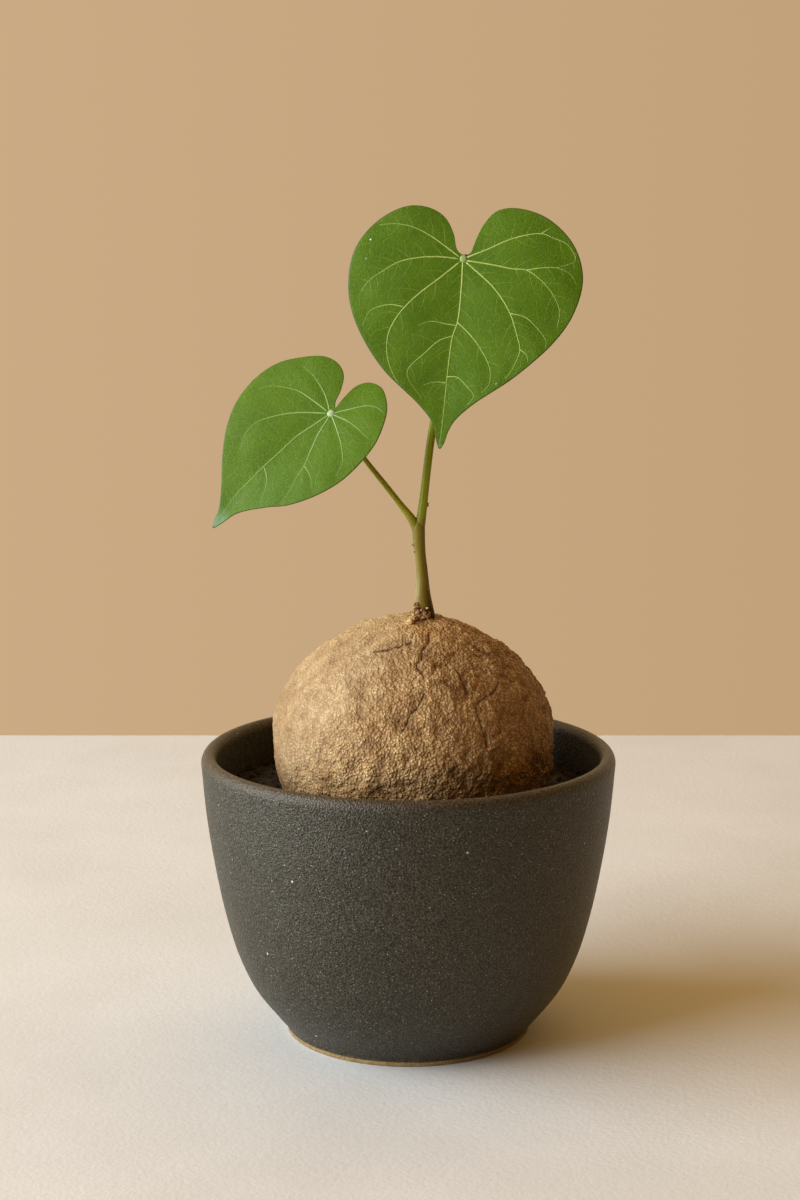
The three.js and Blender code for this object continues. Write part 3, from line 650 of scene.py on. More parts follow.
def roughening(tree, place, smooth_to, rough_from, start, end):
    """From start to end where the bark goes over from its smooth upper left to its rough rest."""
    across, _, up = tree.node("ShaderNodeSeparateXYZ", {0: place}).outputs
    slant = tree.math("MULTIPLY_ADD", up, SMOOTH_SLANT, across)
    return tree.band(slant, smooth_to, rough_from, start, end)


def potting_soil():
    """Dark moist potting soil."""
    f = Finish("potting_soil", Specular_IOR_Level=0.25)
    f.color = f.mottle(1.6, 0.2, (0.009, 0.006, 0.0035), (0.038, 0.024, 0.013))
    f.over(f.specks(2.4, 0.12, 0.3), (0.1, 0.062, 0.032))
    return f.done(f.grain(0.7, 0.8), 0.2, f.tree.band(f.tree.noise(f.place, 3), 0.35, 0.7, 0.95, 0.7))


def corky_bark():
    """Golden-tan cork with grains, smoother at its upper left, orange-tan by the stem. Its wrinkle hollows,
    deeper hollows and cracks are darkened as painted shade, its right and its lit left are darkened as
    painted shade, its smooth upper left has a darker painted tone and its top is lightened as painted light.
    """
    f = Finish("corky_bark", Specular_IOR_Level=0.5, Specular_Tint=(1, 0.9, 0.76, 1))
    tree = f.tree
    smooth = roughening(tree, f.place, SMOOTH_TO * MM, ROUGH_FROM * MM, 1.0, 0.0)
    rough = tree.math("MULTIPLY_ADD", smooth, -0.5, 1.0)
    grit = f.grain(1.3, 1.25)
    wrinkles = f.grain(2.4, 0.4)
    # Painted light and painted shade: the rough rest takes a brighter tone and the lit smooth upper left a
    # darker one
    f.color = f.mottle(9, 0.18, (0.47, 0.278, 0.11), (0.6, 0.388, 0.178))
    f.over(smooth, f.mottle(9, 0.18, (0.395, 0.243, 0.11), (0.485, 0.322, 0.158)))
    across, _, up = tree.node("ShaderNodeSeparateXYZ", {0: f.place}).outputs
    # Painted shade on the right side and on the lit far left, and painted light on the top
    for value, none_at, full_at, tint in (
            (across, *PAINTED_SHADE_RIGHT, (0.76, 0.72, 0.66)),
            (across, *PAINTED_SHADE_LEFT, (0.8, 0.76, 0.7)),
            (up, *PAINTED_LIGHT_TOP, (1.18, 1.18, 1.15))):
        f.times(tint, tree.band(value, none_at * MM, full_at * MM))
    f.over(f.carried("crown"), (0.8, 0.46, 0.17), 0.9)
    f.times(tree.blend(tree.band(grit, -0.2, 0.3), (0.66, 0.57, 0.46), (1.18, 1.18, 1.18)), rough)
    f.times(f.mottle(1.7, 0.16, (0.88, 0.83, 0.76), (1.1, 1.1, 1.08)), rough)
    f.times(f.mottle(4.5, 0.16, (0.88, 0.83, 0.77), (1.08, 1.09, 1.1)), rough)
    # Painted shade in the hollows between wrinkles and in the bark's deeper hollows
    gaps = tree.band(wrinkles, 0.18, 0.0, 0.0, 0.6)
    f.over(tree.math("MULTIPLY", gaps, rough), (0.18, 0.085, 0.025))
    sunk = tree.band(f.carried("hollow"), 0.1, 1.0, 0.0, 0.65)
    f.over(tree.math("MULTIPLY", sunk, rough), (0.16, 0.07, 0.02))
    # The dark crack lines are painted shade in the cracks, and the same mask sinks the relief along them
    wobble = tree.math("SUBTRACT", tree.noise(f.place, 0.9, 3), 0.5)
    aside = tree.math("ABSOLUTE", tree.math("MULTIPLY_ADD", wobble, 0.8, f.carried("crack_side")))
    by_crack = tree.band(f.carried("crack"), 0.1, 0.3)
    split = tree.math("MULTIPLY", tree.band(aside, 0.05, 0.38, 1.0, 0.0), by_crack)
    split = tree.math("MULTIPLY", split, tree.band(tree.noise(f.place, 2.2, 3), 0.36, 0.5, 0.2, 1.0))
    f.over(split, (0.1, 0.04, 0.01), 0.72)
    relief = tree.math("MULTIPLY_ADD", wrinkles, 1.2, grit)
    relief = tree.math("MULTIPLY_ADD", split, -1.0, tree.math("MULTIPLY", relief, rough))
    return f.done(relief, 0.35, tree.band(grit, -0.2, 0.3, 0.8, 0.44))


def dry_scale():
    """Dry dark brown scales and crumbs with golden edges."""
    f = Finish("dry_scale", Specular_IOR_Level=0.2)
    f.color = f.mottle(0.9, 0.12, (0.085, 0.032, 0.009), (0.44, 0.225, 0.08))
    f.over(f.specks(1.1, 0.2, 0.3), (0.55, 0.32, 0.14))
    return f.done(f.grain(0.35, 0.5), 0.12, f.patchy(0.8, 0.6, 0.85))


def pale_scale(name, first, second):
    """Tan scales and lumps of bark beside the stem."""
    f = Finish(name, Specular_IOR_Level=0.25)
    f.color = f.mottle(0.9, 0.12, first, second)
    return f.done(f.grain(0.5, 0.5), 0.1, f.patchy(0.8, 0.55, 0.8))


def fine_streaks(f, length, width):
    """Streaks that run along a stalk: noise on the stalk pulled straight, drawn out along it."""
    drawn = f.tree.vector("MULTIPLY", f.carried("straight", "Vector"), (MM, MM, MM * width / length))
    return f.tree.noise(drawn, width, 3, 0.55)


def stem_skin():
    """Golden-olive skin, greener at the fork, with a pale left flank, partly painted light on its lit side,
    above its dark brown foot, and painted shade low on its right side.
    """
    f = Finish("stem_skin", Specular_IOR_Level=0.2)
    tree = f.tree
    height = f.height()
    streaks = fine_streaks(f, 6, 0.5)
    wander = tree.math("MULTIPLY", tree.math("SUBTRACT", streaks, 0.5), 5)
    level = tree.math("ADD", height, wander)
    f.color = tree.blend(tree.band(level, 103, 124), (0.17, 0.105, 0.008), (0.2, 0.15, 0.01))
    f.over(tree.band(level, 123.5, 126.5, 0.0, 0.7), (0.2, 0.2, 0.006))
    # Pale tone on the left flank, partly painted light on the stem's lit side
    to_right = tree.node("ShaderNodeSeparateXYZ", {0: f.carried("straight", "Vector")}).outputs[0]
    flank = tree.math("MULTIPLY", tree.band(to_right, -0.45, -1.4), tree.band(height, 108.5, 114, 0.9, 0.25))
    f.over(flank, (0.3, 0.222, 0.08))
    f.over(tree.band(level, 101.5, 106, 0.9, 0.0), (0.035, 0.014, 0.004))
    # Painted shade low on the stem's right side
    shaded = tree.math("MULTIPLY", tree.band(to_right, 0.2, 1.3), tree.band(height, 103, 111, 0.85, 0.0))
    f.over(shaded, (0.04, 0.018, 0.004))
    f.over(tree.band(streaks, 0.5, 0.72, 0.0, 0.5), (0.08, 0.042, 0.006))
    f.over(f.specks(1.3, 0.2, 0.16), (0.3, 0.24, 0.08), 0.5)
    return f.done(streaks, 0.1, tree.band(streaks, 0.3, 0.7, 0.42, 0.6))


def petiole_skin(name, first, second):
    """Yellow-green skin with fine streaks, olive at the fork."""
    f = Finish(name, Specular_IOR_Level=0.25)
    streaks = fine_streaks(f, 14, 0.7)
    f.color = f.tree.blend(f.tree.band(streaks, 0.3, 0.7), first, second)
    f.over(f.tree.band(f.height(), FORK_HEIGHT - 0.5, FORK_HEIGHT + 2, 0.8, 0.0), (0.2, 0.16, 0.01))
    return f.done(streaks, 0.03, f.tree.band(streaks, 0.3, 0.7, 0.38, 0.5))


def vein_net(f, size, width):
    """A net of fine veins on the leaf's own u and v, 1 on its lines."""
    place = f.tree.scaled(f.carried("flat", "Vector"), MM)
    shift = f.tree.scaled(f.tree.bending(place, 1 / MM / size), size * MM * 0.8)
    cells = f.tree.cells(f.tree.vector("ADD", place, shift), size, "DISTANCE_TO_EDGE", "2D")
    return f.tree.band(cells.outputs["Distance"], 0.0, width, 1.0, 0.0)


def leaf_upper(name, first, second, tip_reach, sheen):
    """Satin green with a faint pale net, a little lighter beside the veins and pale at the tip."""
    f = Finish(name, Specular_IOR_Level=sheen)
    tree = f.tree
    f.color = f.mottle(9, 0.2, first, second)
    f.times(f.mottle(0.5, 0.2, (0.86, 0.89, 0.8), (1.12, 1.09, 1.2)))
    f.over(tree.band(f.carried("vein_distance"), 0.1, 0.7, 0.25, 0.0), (0.11, 0.2, 0.014))
    coarse_net = vein_net(f, 3.2, 0.03)
    fine_net = vein_net(f, 0.9, 0.08)
    f.over(coarse_net, (0.19, 0.30, 0.04), 0.3)
    f.over(fine_net, (0.17, 0.28, 0.04), 0.1)
    f.over(tree.band(f.carried("tip_distance"), tip_reach * 0.3, tip_reach, 0.75, 0.0), (0.2, 0.3, 0.16))
    relief = tree.math("MULTIPLY_ADD", fine_net, 0.4, tree.math("MULTIPLY", coarse_net, 0.6))
    relief = tree.math("SUBTRACT", tree.math("MULTIPLY", tree.noise(f.place, 1.2, 3), 0.9), relief)
    return f.done(relief, 0.05, f.patchy(2.5, 0.45, 0.58, 3))


def leaf_under():
    """Paler, duller green with a plain net."""
    f = Finish("leaf_under", Specular_IOR_Level=0.3)
    f.color = f.mottle(6, 0.2, (0.16, 0.27, 0.09), (0.21, 0.33, 0.12))
    f.over(f.tree.band(f.carried("vein_distance"), 0.1, 1.1, 0.3, 0.0), (0.3, 0.42, 0.17))
    net = vein_net(f, 1.8, 0.06)
    f.over(net, (0.33, 0.45, 0.2), 0.35)
    return f.done(net, 0.04, f.patchy(2.5, 0.6, 0.75, 3))


def vein(name, first, second, fades=0.0):
    """Pale vein skin, that goes over into the blade's green towards a vein's end."""
    f = Finish(name, Specular_IOR_Level=0.3)
    f.color = f.mottle(3, 0.2, first, second)
    f.over(f.tree.band(f.carried("fade"), 0.15, 1.0, 0.0, fades), LEAF_GREEN)
    return f.done(f.tree.noise(f.place, 0.5), 0.03, f.patchy(1.5, 0.42, 0.55))


def table_top():
    """Plain pale plaster-like table."""
    f = Finish("table_top", Specular_IOR_Level=0.2)
    f.color = f.mottle(60, 0.25, (0.68, 0.635, 0.57), (0.74, 0.695, 0.63))
    return f.done(f.grain(2.2, 0.4), 0.07, f.patchy(30, 0.85, 0.95))


def pot_shape():
    """The thrown wall: foot ring, outer face, rolled lip and inner face, turned round the axis."""
    outer, inner = curve_through(OUTER_WALL, 9), curve_through(INNER_WALL, 8)
    middle = (OUTER_WALL[-1][0] + INNER_WALL[0][0]) / 2
    half = (OUTER_WALL[-1][0] - INNER_WALL[0][0]) / 2
    base = OUTER_WALL[-1][1]
    lip = [[middle + half * math.cos(a), base + (POT_HEIGHT - base) * math.sin(a)]
           for a in np.linspace(0, math.pi, LIP_STEPS)[1:-1]]
    profile = np.vstack([FOOT, outer, lip, inner])
    turns = level_turns(POT_SIDES)
    angle = np.arctan2(turns[:, 1], turns[:, 0])
    rings = []
    for radius, height in profile:
        wall = height / POT_HEIGHT
        waves = np.sin(3 * angle + 0.05 * height) + np.sin(5 * angle - 0.07 * height + 1)
        ring = turns * (radius + WALL_UNEVEN * wall * (waves - 2))[:, None]
        ring[:, 2] = height
        rings.append(ring)
    shape = Shape()
    shape.add(loft(rings, [0, 0, FOOT[0][1]], [0, 0, INNER_WALL[-1][1]]))
    return shape


def smooth_value(points, x):
    """The value at each x of a smooth curve through [x, value] points."""
    xs, values = np.array(points, float).T
    slopes = np.concatenate([
        [(values[1] - values[0]) / (xs[1] - xs[0])],
        (values[2:] - values[:-2]) / (xs[2:] - xs[:-2]),
        [(values[-1] - values[-2]) / (xs[-1] - xs[-2])]])
    k = np.clip(np.searchsorted(xs, x, side="right") - 1, 0, len(xs) - 2)
    width, rise = xs[k + 1] - xs[k], values[k + 1] - values[k]
    leaving, arriving = slopes[k] * width, slopes[k + 1] * width
    t = (x - xs[k]) / width
    return values[k] + leaving * t + (3 * rise - 2 * leaving - arriving) * t**2 + (
        leaving + arriving - 2 * rise) * t**3


def ways_out(latitude, longitude):
    """Unit steps from the caudex's middle towards latitudes and longitudes in degrees."""
    lat, lon = np.radians(latitude), np.radians(longitude)
    return np.stack([np.cos(lat) * np.cos(lon), np.cos(lat) * np.sin(lon), np.sin(lat)], axis=-1)


def on_caudex(latitude, longitude, grow=0.0):
    """Points of the caudex's skin, before its fine bark."""
    latitude, longitude = np.broadcast_arrays(latitude, longitude)
    out = ways_out(latitude, longitude)
    waves = np.array(CAUDEX_WAVES)
    lumps = CAUDEX_WAVE_HEIGHT * np.sin(out @ waves[:, :3].T + waves[:, 3]).sum(axis=-1)
    to_stem = (FOOT_OF_STEM - CAUDEX_MIDDLE) / np.linalg.norm(FOOT_OF_STEM - CAUDEX_MIDDLE)
    off_crown = np.degrees(np.arccos(np.clip(out @ to_stem, -1, 1))) / CROWN_WIDTH
    radius = smooth_value(CAUDEX_PROFILE, latitude) + lumps + CROWN_RISE * np.exp(-(off_crown**2)) + grow
    return CAUDEX_MIDDLE + out * radius[..., None]


def nearest(samples, points):
    """For each point the number of the nearest sample and how far it lies from it."""
    numbers, ways = [], []
    for part in np.array_split(points, max(1, len(points) * len(samples) // 4_000_000)):
        squares = ((part[:, None] - samples[None]) ** 2).sum(axis=2)
        numbers.append(squares.argmin(axis=1))
        ways.append(np.sqrt(squares.min(axis=1)))
    return np.concatenate(numbers), np.concatenate(ways)


def distance_to(samples, points):
    """How far each point lies from the nearest sample."""
    return nearest(samples, points)[1]


def root_bars():
    """Roots that leave the underside and spread as they go down, each a little longer or shorter."""
    for k in range(ROOTS):
        turn = 360 * k / ROOTS + ROOT_TWIST * math.sin(3 * k + 1)
        stretch = 1 + ROOT_SPREAD * math.sin(5 * k + 2)
        route = []
        for i, (radius, height, thick) in enumerate(ROOT_ROUTE):
            angle = math.radians(turn + ROOT_TWIST * math.sin(2 * i + k))
            route.append([CAUDEX_MIDDLE[0] + radius * stretch * math.cos(angle),
                          radius * stretch * math.sin(angle), height, thick])
        yield bar(route, 16, 10)[0]


def crack_values(corners):
    """How near each corner is to a crack, 1 on it, and how far it lies to one side of it in millimetres."""
    lines = [on_caudex(*curve_through(crack, 14).T) for crack in CRACKS]
    line = np.vstack(lines)
    aside = np.cross(np.vstack([np.gradient(part, axis=0) for part in lines]), line - CAUDEX_MIDDLE)
    aside /= np.linalg.norm(aside, axis=1)[:, None]
    number, way = nearest(line, corners)
    side = ((corners - line[number]) * aside[number]).sum(axis=1)
    return np.exp(-((way / CRACK_WIDTH) ** 2)), np.clip(side, -2, 2)


def caudex_shape():
    """The ball in rings, close together where it is bare, with how near each corner is to a crack."""
    bare = np.linspace(BURIED_FROM, 90, BARE_RINGS + 1)[:-1]
    buried = np.linspace(-90, BURIED_FROM, BURIED_RINGS + 1)[1:-1]
    latitude = np.concatenate([buried, bare])[:, None]
    longitude = np.linspace(0, 360, CAUDEX_SIDES, endpoint=False)[None, :]
    rings = on_caudex(latitude, longitude)
    corners, faces = loft(rings, on_caudex(-90.0, 0.0), on_caudex(90.0, 0.0))
    near, side = crack_values(corners)
    off_patch = (corners - on_caudex(*CROWN_PATCH)) / CROWN_PATCH_SIZE
    crown = np.exp(-(np.linalg.norm(off_patch, axis=1) ** 2))
    shape = Shape()
    shape.add((corners, faces), crack=near[:, None], crack_side=side[:, None], crown=crown[:, None])
    for root in root_bars():
        shape.add(root)
    return shape


def modified(piece, tree):
    """The piece with a Geometry Nodes tree run over it, turned back into a plain mesh."""
    modifier = piece.modifiers.new(tree.name, "NODES")
    modifier.node_group = tree
    piece.update_tag()
    bpy.context.view_layer.update()
    evaluated = piece.evaluated_get(bpy.context.evaluated_depsgraph_get())
    mesh = bpy.data.meshes.new_from_object(evaluated)
    piece.modifiers.remove(modifier)
    old = piece.data
    piece.data = mesh
    bpy.data.meshes.remove(old)
    mesh.name = piece.name
    return piece


def finish_tree(tree, geometry, finish, out):
    """Ends a Geometry Nodes tree: its result made real, in its finish."""
    real = tree.node("GeometryNodeRealizeInstances", {0: geometry}).outputs[0]
    dressed = tree.node("GeometryNodeSetMaterial", {"Geometry": real, "Material": finish}).outputs[0]
    tree.tree.links.new(dressed, out["Geometry"])


def bark_tree(finish):
    """Corky bark: low lumps, rough folds, small cushions, winding creases, and the cracks of the ball."""
    group, tree, given, out = node_group("bark_relief", "GeometryNodeTree", {
        "Geometry": "Geometry", "Lump Size": 8.0, "Lump Height": 0.7, "Fold Size": 4.0, "Fold Height": 1.5,
        "Cushion Size": 1.9, "Cushion Height": 0.6, "Crease Size": 5.5, "Crease Depth": 0.25,
        "Crack Depth": 0.3, "Smooth To": SMOOTH_TO * MM, "Rough From": ROUGH_FROM * MM,
    }, {"Geometry": "Geometry"})
    place = tree.node("GeometryNodeInputPosition").outputs[0]
    winding = tree.vector("ADD", place, tree.scaled(tree.bending(place, 380.0, 3.0), 6 * MM))
    rugged = roughening(tree, place, given["Smooth To"], given["Rough From"], 0.45, 1.25)
    lumps = tree.math("SUBTRACT", tree.noise(place, given["Lump Size"], 1), 0.5)
    folds = tree.math("SUBTRACT", tree.noise(place, given["Fold Size"], 5, 0.65), 0.5)
    cushions = tree.cells(winding, given["Cushion Size"], "SMOOTH_F1").outputs["Distance"]
    edges = tree.cells(winding, given["Crease Size"], "DISTANCE_TO_EDGE").outputs["Distance"]
    patches = tree.band(tree.noise(place, 8), 0.42, 0.6)
    crease = tree.math("MULTIPLY", tree.band(edges, 0.0, 0.075, 1.0, 0.0), patches)
    named = tree.node("GeometryNodeInputNamedAttribute", {"Name": "crack"}, data_type="FLOAT").outputs[0]
    crack = tree.math("MULTIPLY", named, tree.band(tree.noise(place, 1.6, 3), 0.36, 0.54))
    rise = tree.math("MULTIPLY", folds, given["Fold Height"])
    rise = tree.math("MULTIPLY_ADD", tree.math("SUBTRACT", 0.45, cushions), given["Cushion Height"], rise)
    rise = tree.math("MULTIPLY", rise, rugged)
    rise = tree.math("MULTIPLY_ADD", lumps, given["Lump Height"], rise)
    rise = tree.math("SUBTRACT", rise, tree.math("MULTIPLY", crease, given["Crease Depth"]))
    rise = tree.math("SUBTRACT", rise, tree.math("MULTIPLY", crack, given["Crack Depth"]))
    normal = tree.node("GeometryNodeInputNormal").outputs[0]
    offset = tree.scaled(normal, tree.math("MULTIPLY", rise, MM))
    moved = tree.node("GeometryNodeSetPosition", {"Geometry": given["Geometry"], "Offset": offset}).outputs[0]
    # How deep each point lies, stored as hollow, which the bark's colour darkens as painted shade
    deep = tree.math("MULTIPLY_ADD", crack, 0.3, tree.math("MULTIPLY", crease, 0.5))
    deep = tree.math("ADD", deep, tree.band(folds, -0.01, -0.14, 0.0, 0.8))
    deep = tree.math("ADD", deep, tree.band(cushions, 0.42, 0.75, 0.0, 0.5))
    stored = tree.node("GeometryNodeStoreNamedAttribute", {
        "Geometry": moved, "Name": "hollow", "Value": deep}, data_type="FLOAT", domain="POINT").outputs[0]
    finish_tree(tree, stored, finish, out)
    return group


def crumbs_tree(finish):
    """Soil crumbs: rough surface, and lumps strewn over its level top, sunk a little into it."""
    group, tree, given, out = node_group("soil_crumbs", "GeometryNodeTree", {
        "Geometry": "Geometry", "Top From": (SOIL_LEVEL - 1.5) * MM, "Density": CRUMBS_IN_SQUARE_METRE,
        "Smallest": 0.3 * MM, "Largest": 1.1 * MM, "Seed": 3,
    }, {"Geometry": "Geometry"})
    place = tree.node("GeometryNodeInputPosition").outputs[0]
    normal = tree.node("GeometryNodeInputNormal").outputs[0]
    on_top = tree.math("GREATER_THAN", tree.height_of(place), given["Top From"])
    facing_up = tree.math("GREATER_THAN", tree.height_of(normal), 0.4)
    chosen = tree.math("MULTIPLY", on_top, facing_up)
    points = tree.node("GeometryNodeDistributePointsOnFaces", {
        "Mesh": given["Geometry"], "Selection": chosen, "Density": given["Density"], "Seed": given["Seed"]})
    lump = tree.node("GeometryNodeMeshIcoSphere", {"Radius": 1.0, "Subdivisions": 1}).outputs[0]
    share = tree.node("FunctionNodeRandomValue", {"Seed": given["Seed"]}, data_type="FLOAT").outputs[1]
    span = tree.math("SUBTRACT", given["Largest"], given["Smallest"])
    size = tree.math("MULTIPLY_ADD", tree.math("POWER", share, 3.0), span, given["Smallest"])
    squash = tree.node("FunctionNodeRandomValue", {0: (0.6, 0.6, 0.5), 1: (1.3, 1.3, 0.9), "Seed": 5},
                       data_type="FLOAT_VECTOR").outputs[0]
    turn = tree.node("FunctionNodeRandomValue", {0: (0, 0, 0), 1: (6.28, 6.28, 6.28), "Seed": 7},
                     data_type="FLOAT_VECTOR").outputs[0]
    strewn = tree.node("GeometryNodeInstanceOnPoints", {
        "Points": points.outputs[0], "Instance": lump, "Rotation": turn, "Scale": tree.scaled(squash, size)})
    real = tree.node("GeometryNodeRealizeInstances", {0: strewn.outputs[0]}).outputs[0]
    dent = tree.scaled(tree.bending(place, 1100.0), 0.45 * MM)
    real = tree.node("GeometryNodeSetPosition", {"Geometry": real, "Offset": dent}).outputs[0]
    whole = tree.node("GeometryNodeJoinGeometry")
    tree.tree.links.new(real, whole.inputs[0])
    tree.tree.links.new(given["Geometry"], whole.inputs[0])
    finish_tree(tree, whole.outputs[0], finish, out)
    return group


def soil_shape():
    """The soil's body: along the inner wall, over its rough top, and round the hollow for the caudex."""
    wall = curve_through(INNER_WALL, 4)[::-1]
    wall = wall[(wall[:, 1] < SOIL_LEVEL - 3) & (wall[:, 0] > 1)]
    turns = level_turns(SOIL_SIDES)
    longitude = np.linspace(0, 360, SOIL_SIDES, endpoint=False)
    rings = []
    for radius, height in wall:
        ring = turns * (radius - SOIL_WALL_GAP)
        ring[:, 2] = height + SOIL_WALL_GAP
        rings.append(ring)
    shore = turns * SOIL_RADIUS + [0, 0, SOIL_LEVEL - 0.6]
    rim_latitude = math.degrees(math.asin((SOIL_LEVEL - CAUDEX_MIDDLE[2]) / CAUDEX_AT_SOIL))
    brink = on_caudex(np.full(SOIL_SIDES, rim_latitude), longitude, SOIL_HOLLOW_GAP)
    for share in np.linspace(0, 1, SOIL_TOP_STEPS):
        ring = shore * (1 - share) + brink * share
        for corner in ring:
            here = Vector(corner)
            corner[2] += sum(high * noise.noise(here * rate) for rate, high in SOIL_WAVES)
        rings.append(ring)
    for latitude in np.linspace(rim_latitude - 4, -86, SOIL_HOLLOW_STEPS):
        rings.append(on_caudex(np.full(SOIL_SIDES, latitude), longitude, SOIL_HOLLOW_GAP))
    shape = Shape()
    floor = [0, 0, INNER_WALL[-1][1] + SOIL_FLOOR_GAP]
    shape.add(loft(rings, floor, on_caudex(-90.0, 0.0, SOIL_HOLLOW_GAP)))
    return shape


def flake(root, out, height, width, lean, curl, thick=0.16):
    """A thin dry scale that stands on its root, bent outwards and hollow towards the stem."""
    out = np.array(out, float) / np.linalg.norm(out)
    side = np.array([-out[1], out[0], 0])
    rings = []
    for share in np.linspace(0, 0.96, 8):
        centre = np.array(root) + out * lean * share**2 + np.array([0, 0, height * share])
        half = width / 2 * math.sqrt(max(0.02, 1 - share**2.2))
        turn = np.linspace(0, 2 * math.pi, 12, endpoint=False)[:, None]
        across = half * np.sin(turn)
        bend = -curl * (np.sin(turn) ** 2) * half / (width / 2)
        rings.append(centre + side * across + out * (thick * np.cos(turn) + bend))
    top = np.array(root) + out * (lean - curl * 0.1) + np.array([0, 0, height])
    return loft(rings, np.array(root) - [0, 0, 0.2], top)


def on_crown(angle, reach):
    """A point of the caudex's crown, at an angle and distance from the stem's foot."""
    off = FOOT_OF_STEM + reach * np.array([math.cos(math.radians(angle)), math.sin(math.radians(angle)), 0])
    off = off - CAUDEX_MIDDLE
    from_top = math.degrees(math.asin(math.hypot(off[0], off[1]) / CAUDEX_PROFILE[-1][1]))
    return on_caudex(90.0 - from_top, math.degrees(math.atan2(off[1], off[0])))


def crust_shape():
    """Dry crumbs heaped round the stem's foot, highest at front left, with scales standing in them."""
    draw = random.Random(11)
    shape = Shape()
    for k in range(CRUMBS):
        angle = draw.uniform(*CRUST_TURN) if k % 3 == 0 else draw.gauss(CRUST_THICKEST, CRUST_GATHERED)
        thick = max(0.0, math.cos(math.radians(angle - CRUST_THICKEST)))
        reach = draw.uniform(*CRUST_REACH)
        top = 0.2 + (0.3 + 2.8 * thick**2) * (3.3 - reach) / 1.5
        size = draw.uniform(*CRUMB_SIZE) + 0.25 * thick * draw.random()
        place = on_crown(angle, reach) + [0, 0, draw.uniform(0, top)]
        lump = crumb(draw, place, [size, size * 0.8, size * 0.8], 0.6)
        shape.add(lump, finish=int(draw.random() < CRUMB_TAN_SHARE))
    for x, y, z, half, high, finish in CRUST_LUMPS:
        shape.add(crumb(draw, [x, y, z], [half, half * 0.8, high], 0.5, 3), finish=finish)
    for angle, height, width, lean, finish in STANDING_SCALES:
        out = [math.cos(math.radians(angle)), math.sin(math.radians(angle)), 0]
        root = on_crown(angle, SCALE_REACH)
        shape.add(flake(root, out, height, width, lean, SCALE_CURL), finish=finish)
    return shape


def stem_shape():
    """The stem from the crown to the fork, with its scars."""
    draw = random.Random(5)
    shape = Shape()
    skin, straight = bar(STEM, 40, 26)
    shape.add(skin, straight=straight)
    for x, y, z, radius in STEM_SCARS:
        shape.add(crumb(draw, [x, y, z], [radius, radius, radius * 0.7], 0.3, 3), finish=1)
    return shape


def petiole_shape(leaf, route, knot=None):
    """A petiole from the fork to the back of its blade, where it widens into the boss."""
    to_plant = leaf_frame(leaf)
    ends = [[*(to_plant @ Vector((0, 0, w))), radius] for w, radius in PETIOLE_SEAT]
    shape = Shape()
    skin, straight = bar(route + ends, 28, 14)
    shape.add(skin, straight=straight)
    if knot:
        *place, half = knot
        shape.add(crumb(random.Random(2), place, [half * 0.8, half * 0.8, half * 1.5], 0.3, 3))
    return shape


def leaf_frame(leaf):
    """From a leaf's own axes to the plant's: hanging and facing front, then rolled, tilted and turned."""
    facing = Matrix(((0, 1, 0, 0), (0, 0, -1, 0), (-1, 0, 0, 0), (0, 0, 0, 1)))
    roll = Matrix.Rotation(math.radians(leaf["roll"]), 4, Vector((0, -1, 0)))
    tilt = Matrix.Rotation(math.radians(leaf["tilt"]), 4, "X")
    yaw = Matrix.Rotation(math.radians(leaf["yaw"]), 4, "Z")
    return Matrix.Translation(leaf["junction"]) @ yaw @ tilt @ roll @ facing


def blade_lift(leaf, flat):
    """Height of a blade's middle layer: creased and arched, drooping, and pillowed between its veins."""
    u, v = flat[:, 0], flat[:, 1]
    fold = leaf["fold"] * (np.hypot(v, leaf["crease"]) - leaf["crease"]) - leaf["bow"] * v**2
    droop = leaf["droop"] * np.maximum(0, u - leaf["droop_from"]) ** 2
    lobe = leaf["lobe"] * np.minimum(0, u) ** 2
    near = distance_to(leaf["vein_points"], flat)
    pillow = PILLOW_HEIGHT * (1 - np.exp(-((near / PILLOW_REACH) ** 2)))
    outward = np.hypot(u - leaf["middle"][0], v - leaf["middle"][1]) / RIPPLE_REACH
    ripple = RIPPLE * np.sin(0.33 * u + 1) * np.sin(0.29 * v + 2) * outward**2
    return fold - droop - lobe + pillow + ripple, near


def lifted(leaf, flat, rise):
    """Flat points of a leaf raised onto its blade, plus a rise along w."""
    height, near = blade_lift(leaf, flat)
    return np.column_stack([flat, height + rise]), near


def blade(leaf):
    """Both faces of the blade in rings from its middle out to the edge and back, with a rounded rim."""
    edge = evenly(curve_through(leaf["outline"], 16, closed=True), BLADE_EDGE_POINTS, closed=True)
    middle = np.array(leaf["middle"], float)
    shares = np.concatenate([np.linspace(0.02, 0.985, BLADE_RINGS), [0.9925, 0.9975]])
    halves = np.concatenate([np.full(BLADE_RINGS, BLADE_HALF), [BLADE_HALF * 0.85, BLADE_EDGE_HALF]])
    halves[-6:-2] = np.linspace(BLADE_HALF, BLADE_HALF * 0.95, 4)
    layers = [(share, half) for share, half in zip(shares, halves)] + [(1.0, 0.0)]
    layers += [(share, -half) for share, half in zip(shares[::-1], halves[::-1])]
    flat = np.vstack([middle + (edge - middle) * share for share, _ in layers])
    rise = np.concatenate([np.full(len(edge), half) for _, half in layers])
    placed, near = lifted(leaf, flat, rise)
    rings = placed.reshape(len(layers), len(edge), 3)
    poles, _ = lifted(leaf, np.array([middle, middle]), np.array([BLADE_HALF, -BLADE_HALF]))
    corners, faces = loft(rings, poles[0], poles[1])
    flat = np.vstack([flat, middle, middle])
    near = np.concatenate([near, [5, 5]])
    upper = len(edge) * (1 + len(shares))
    finish = [UPPER] * upper + [UNDER] * (len(faces) - upper)
    rim = slice(upper - 2 * len(edge), upper + 2 * len(edge))
    finish[rim] = [PAINTED_RIM_SHADE] * (4 * len(edge))
    return (corners, faces), finish, flat, near


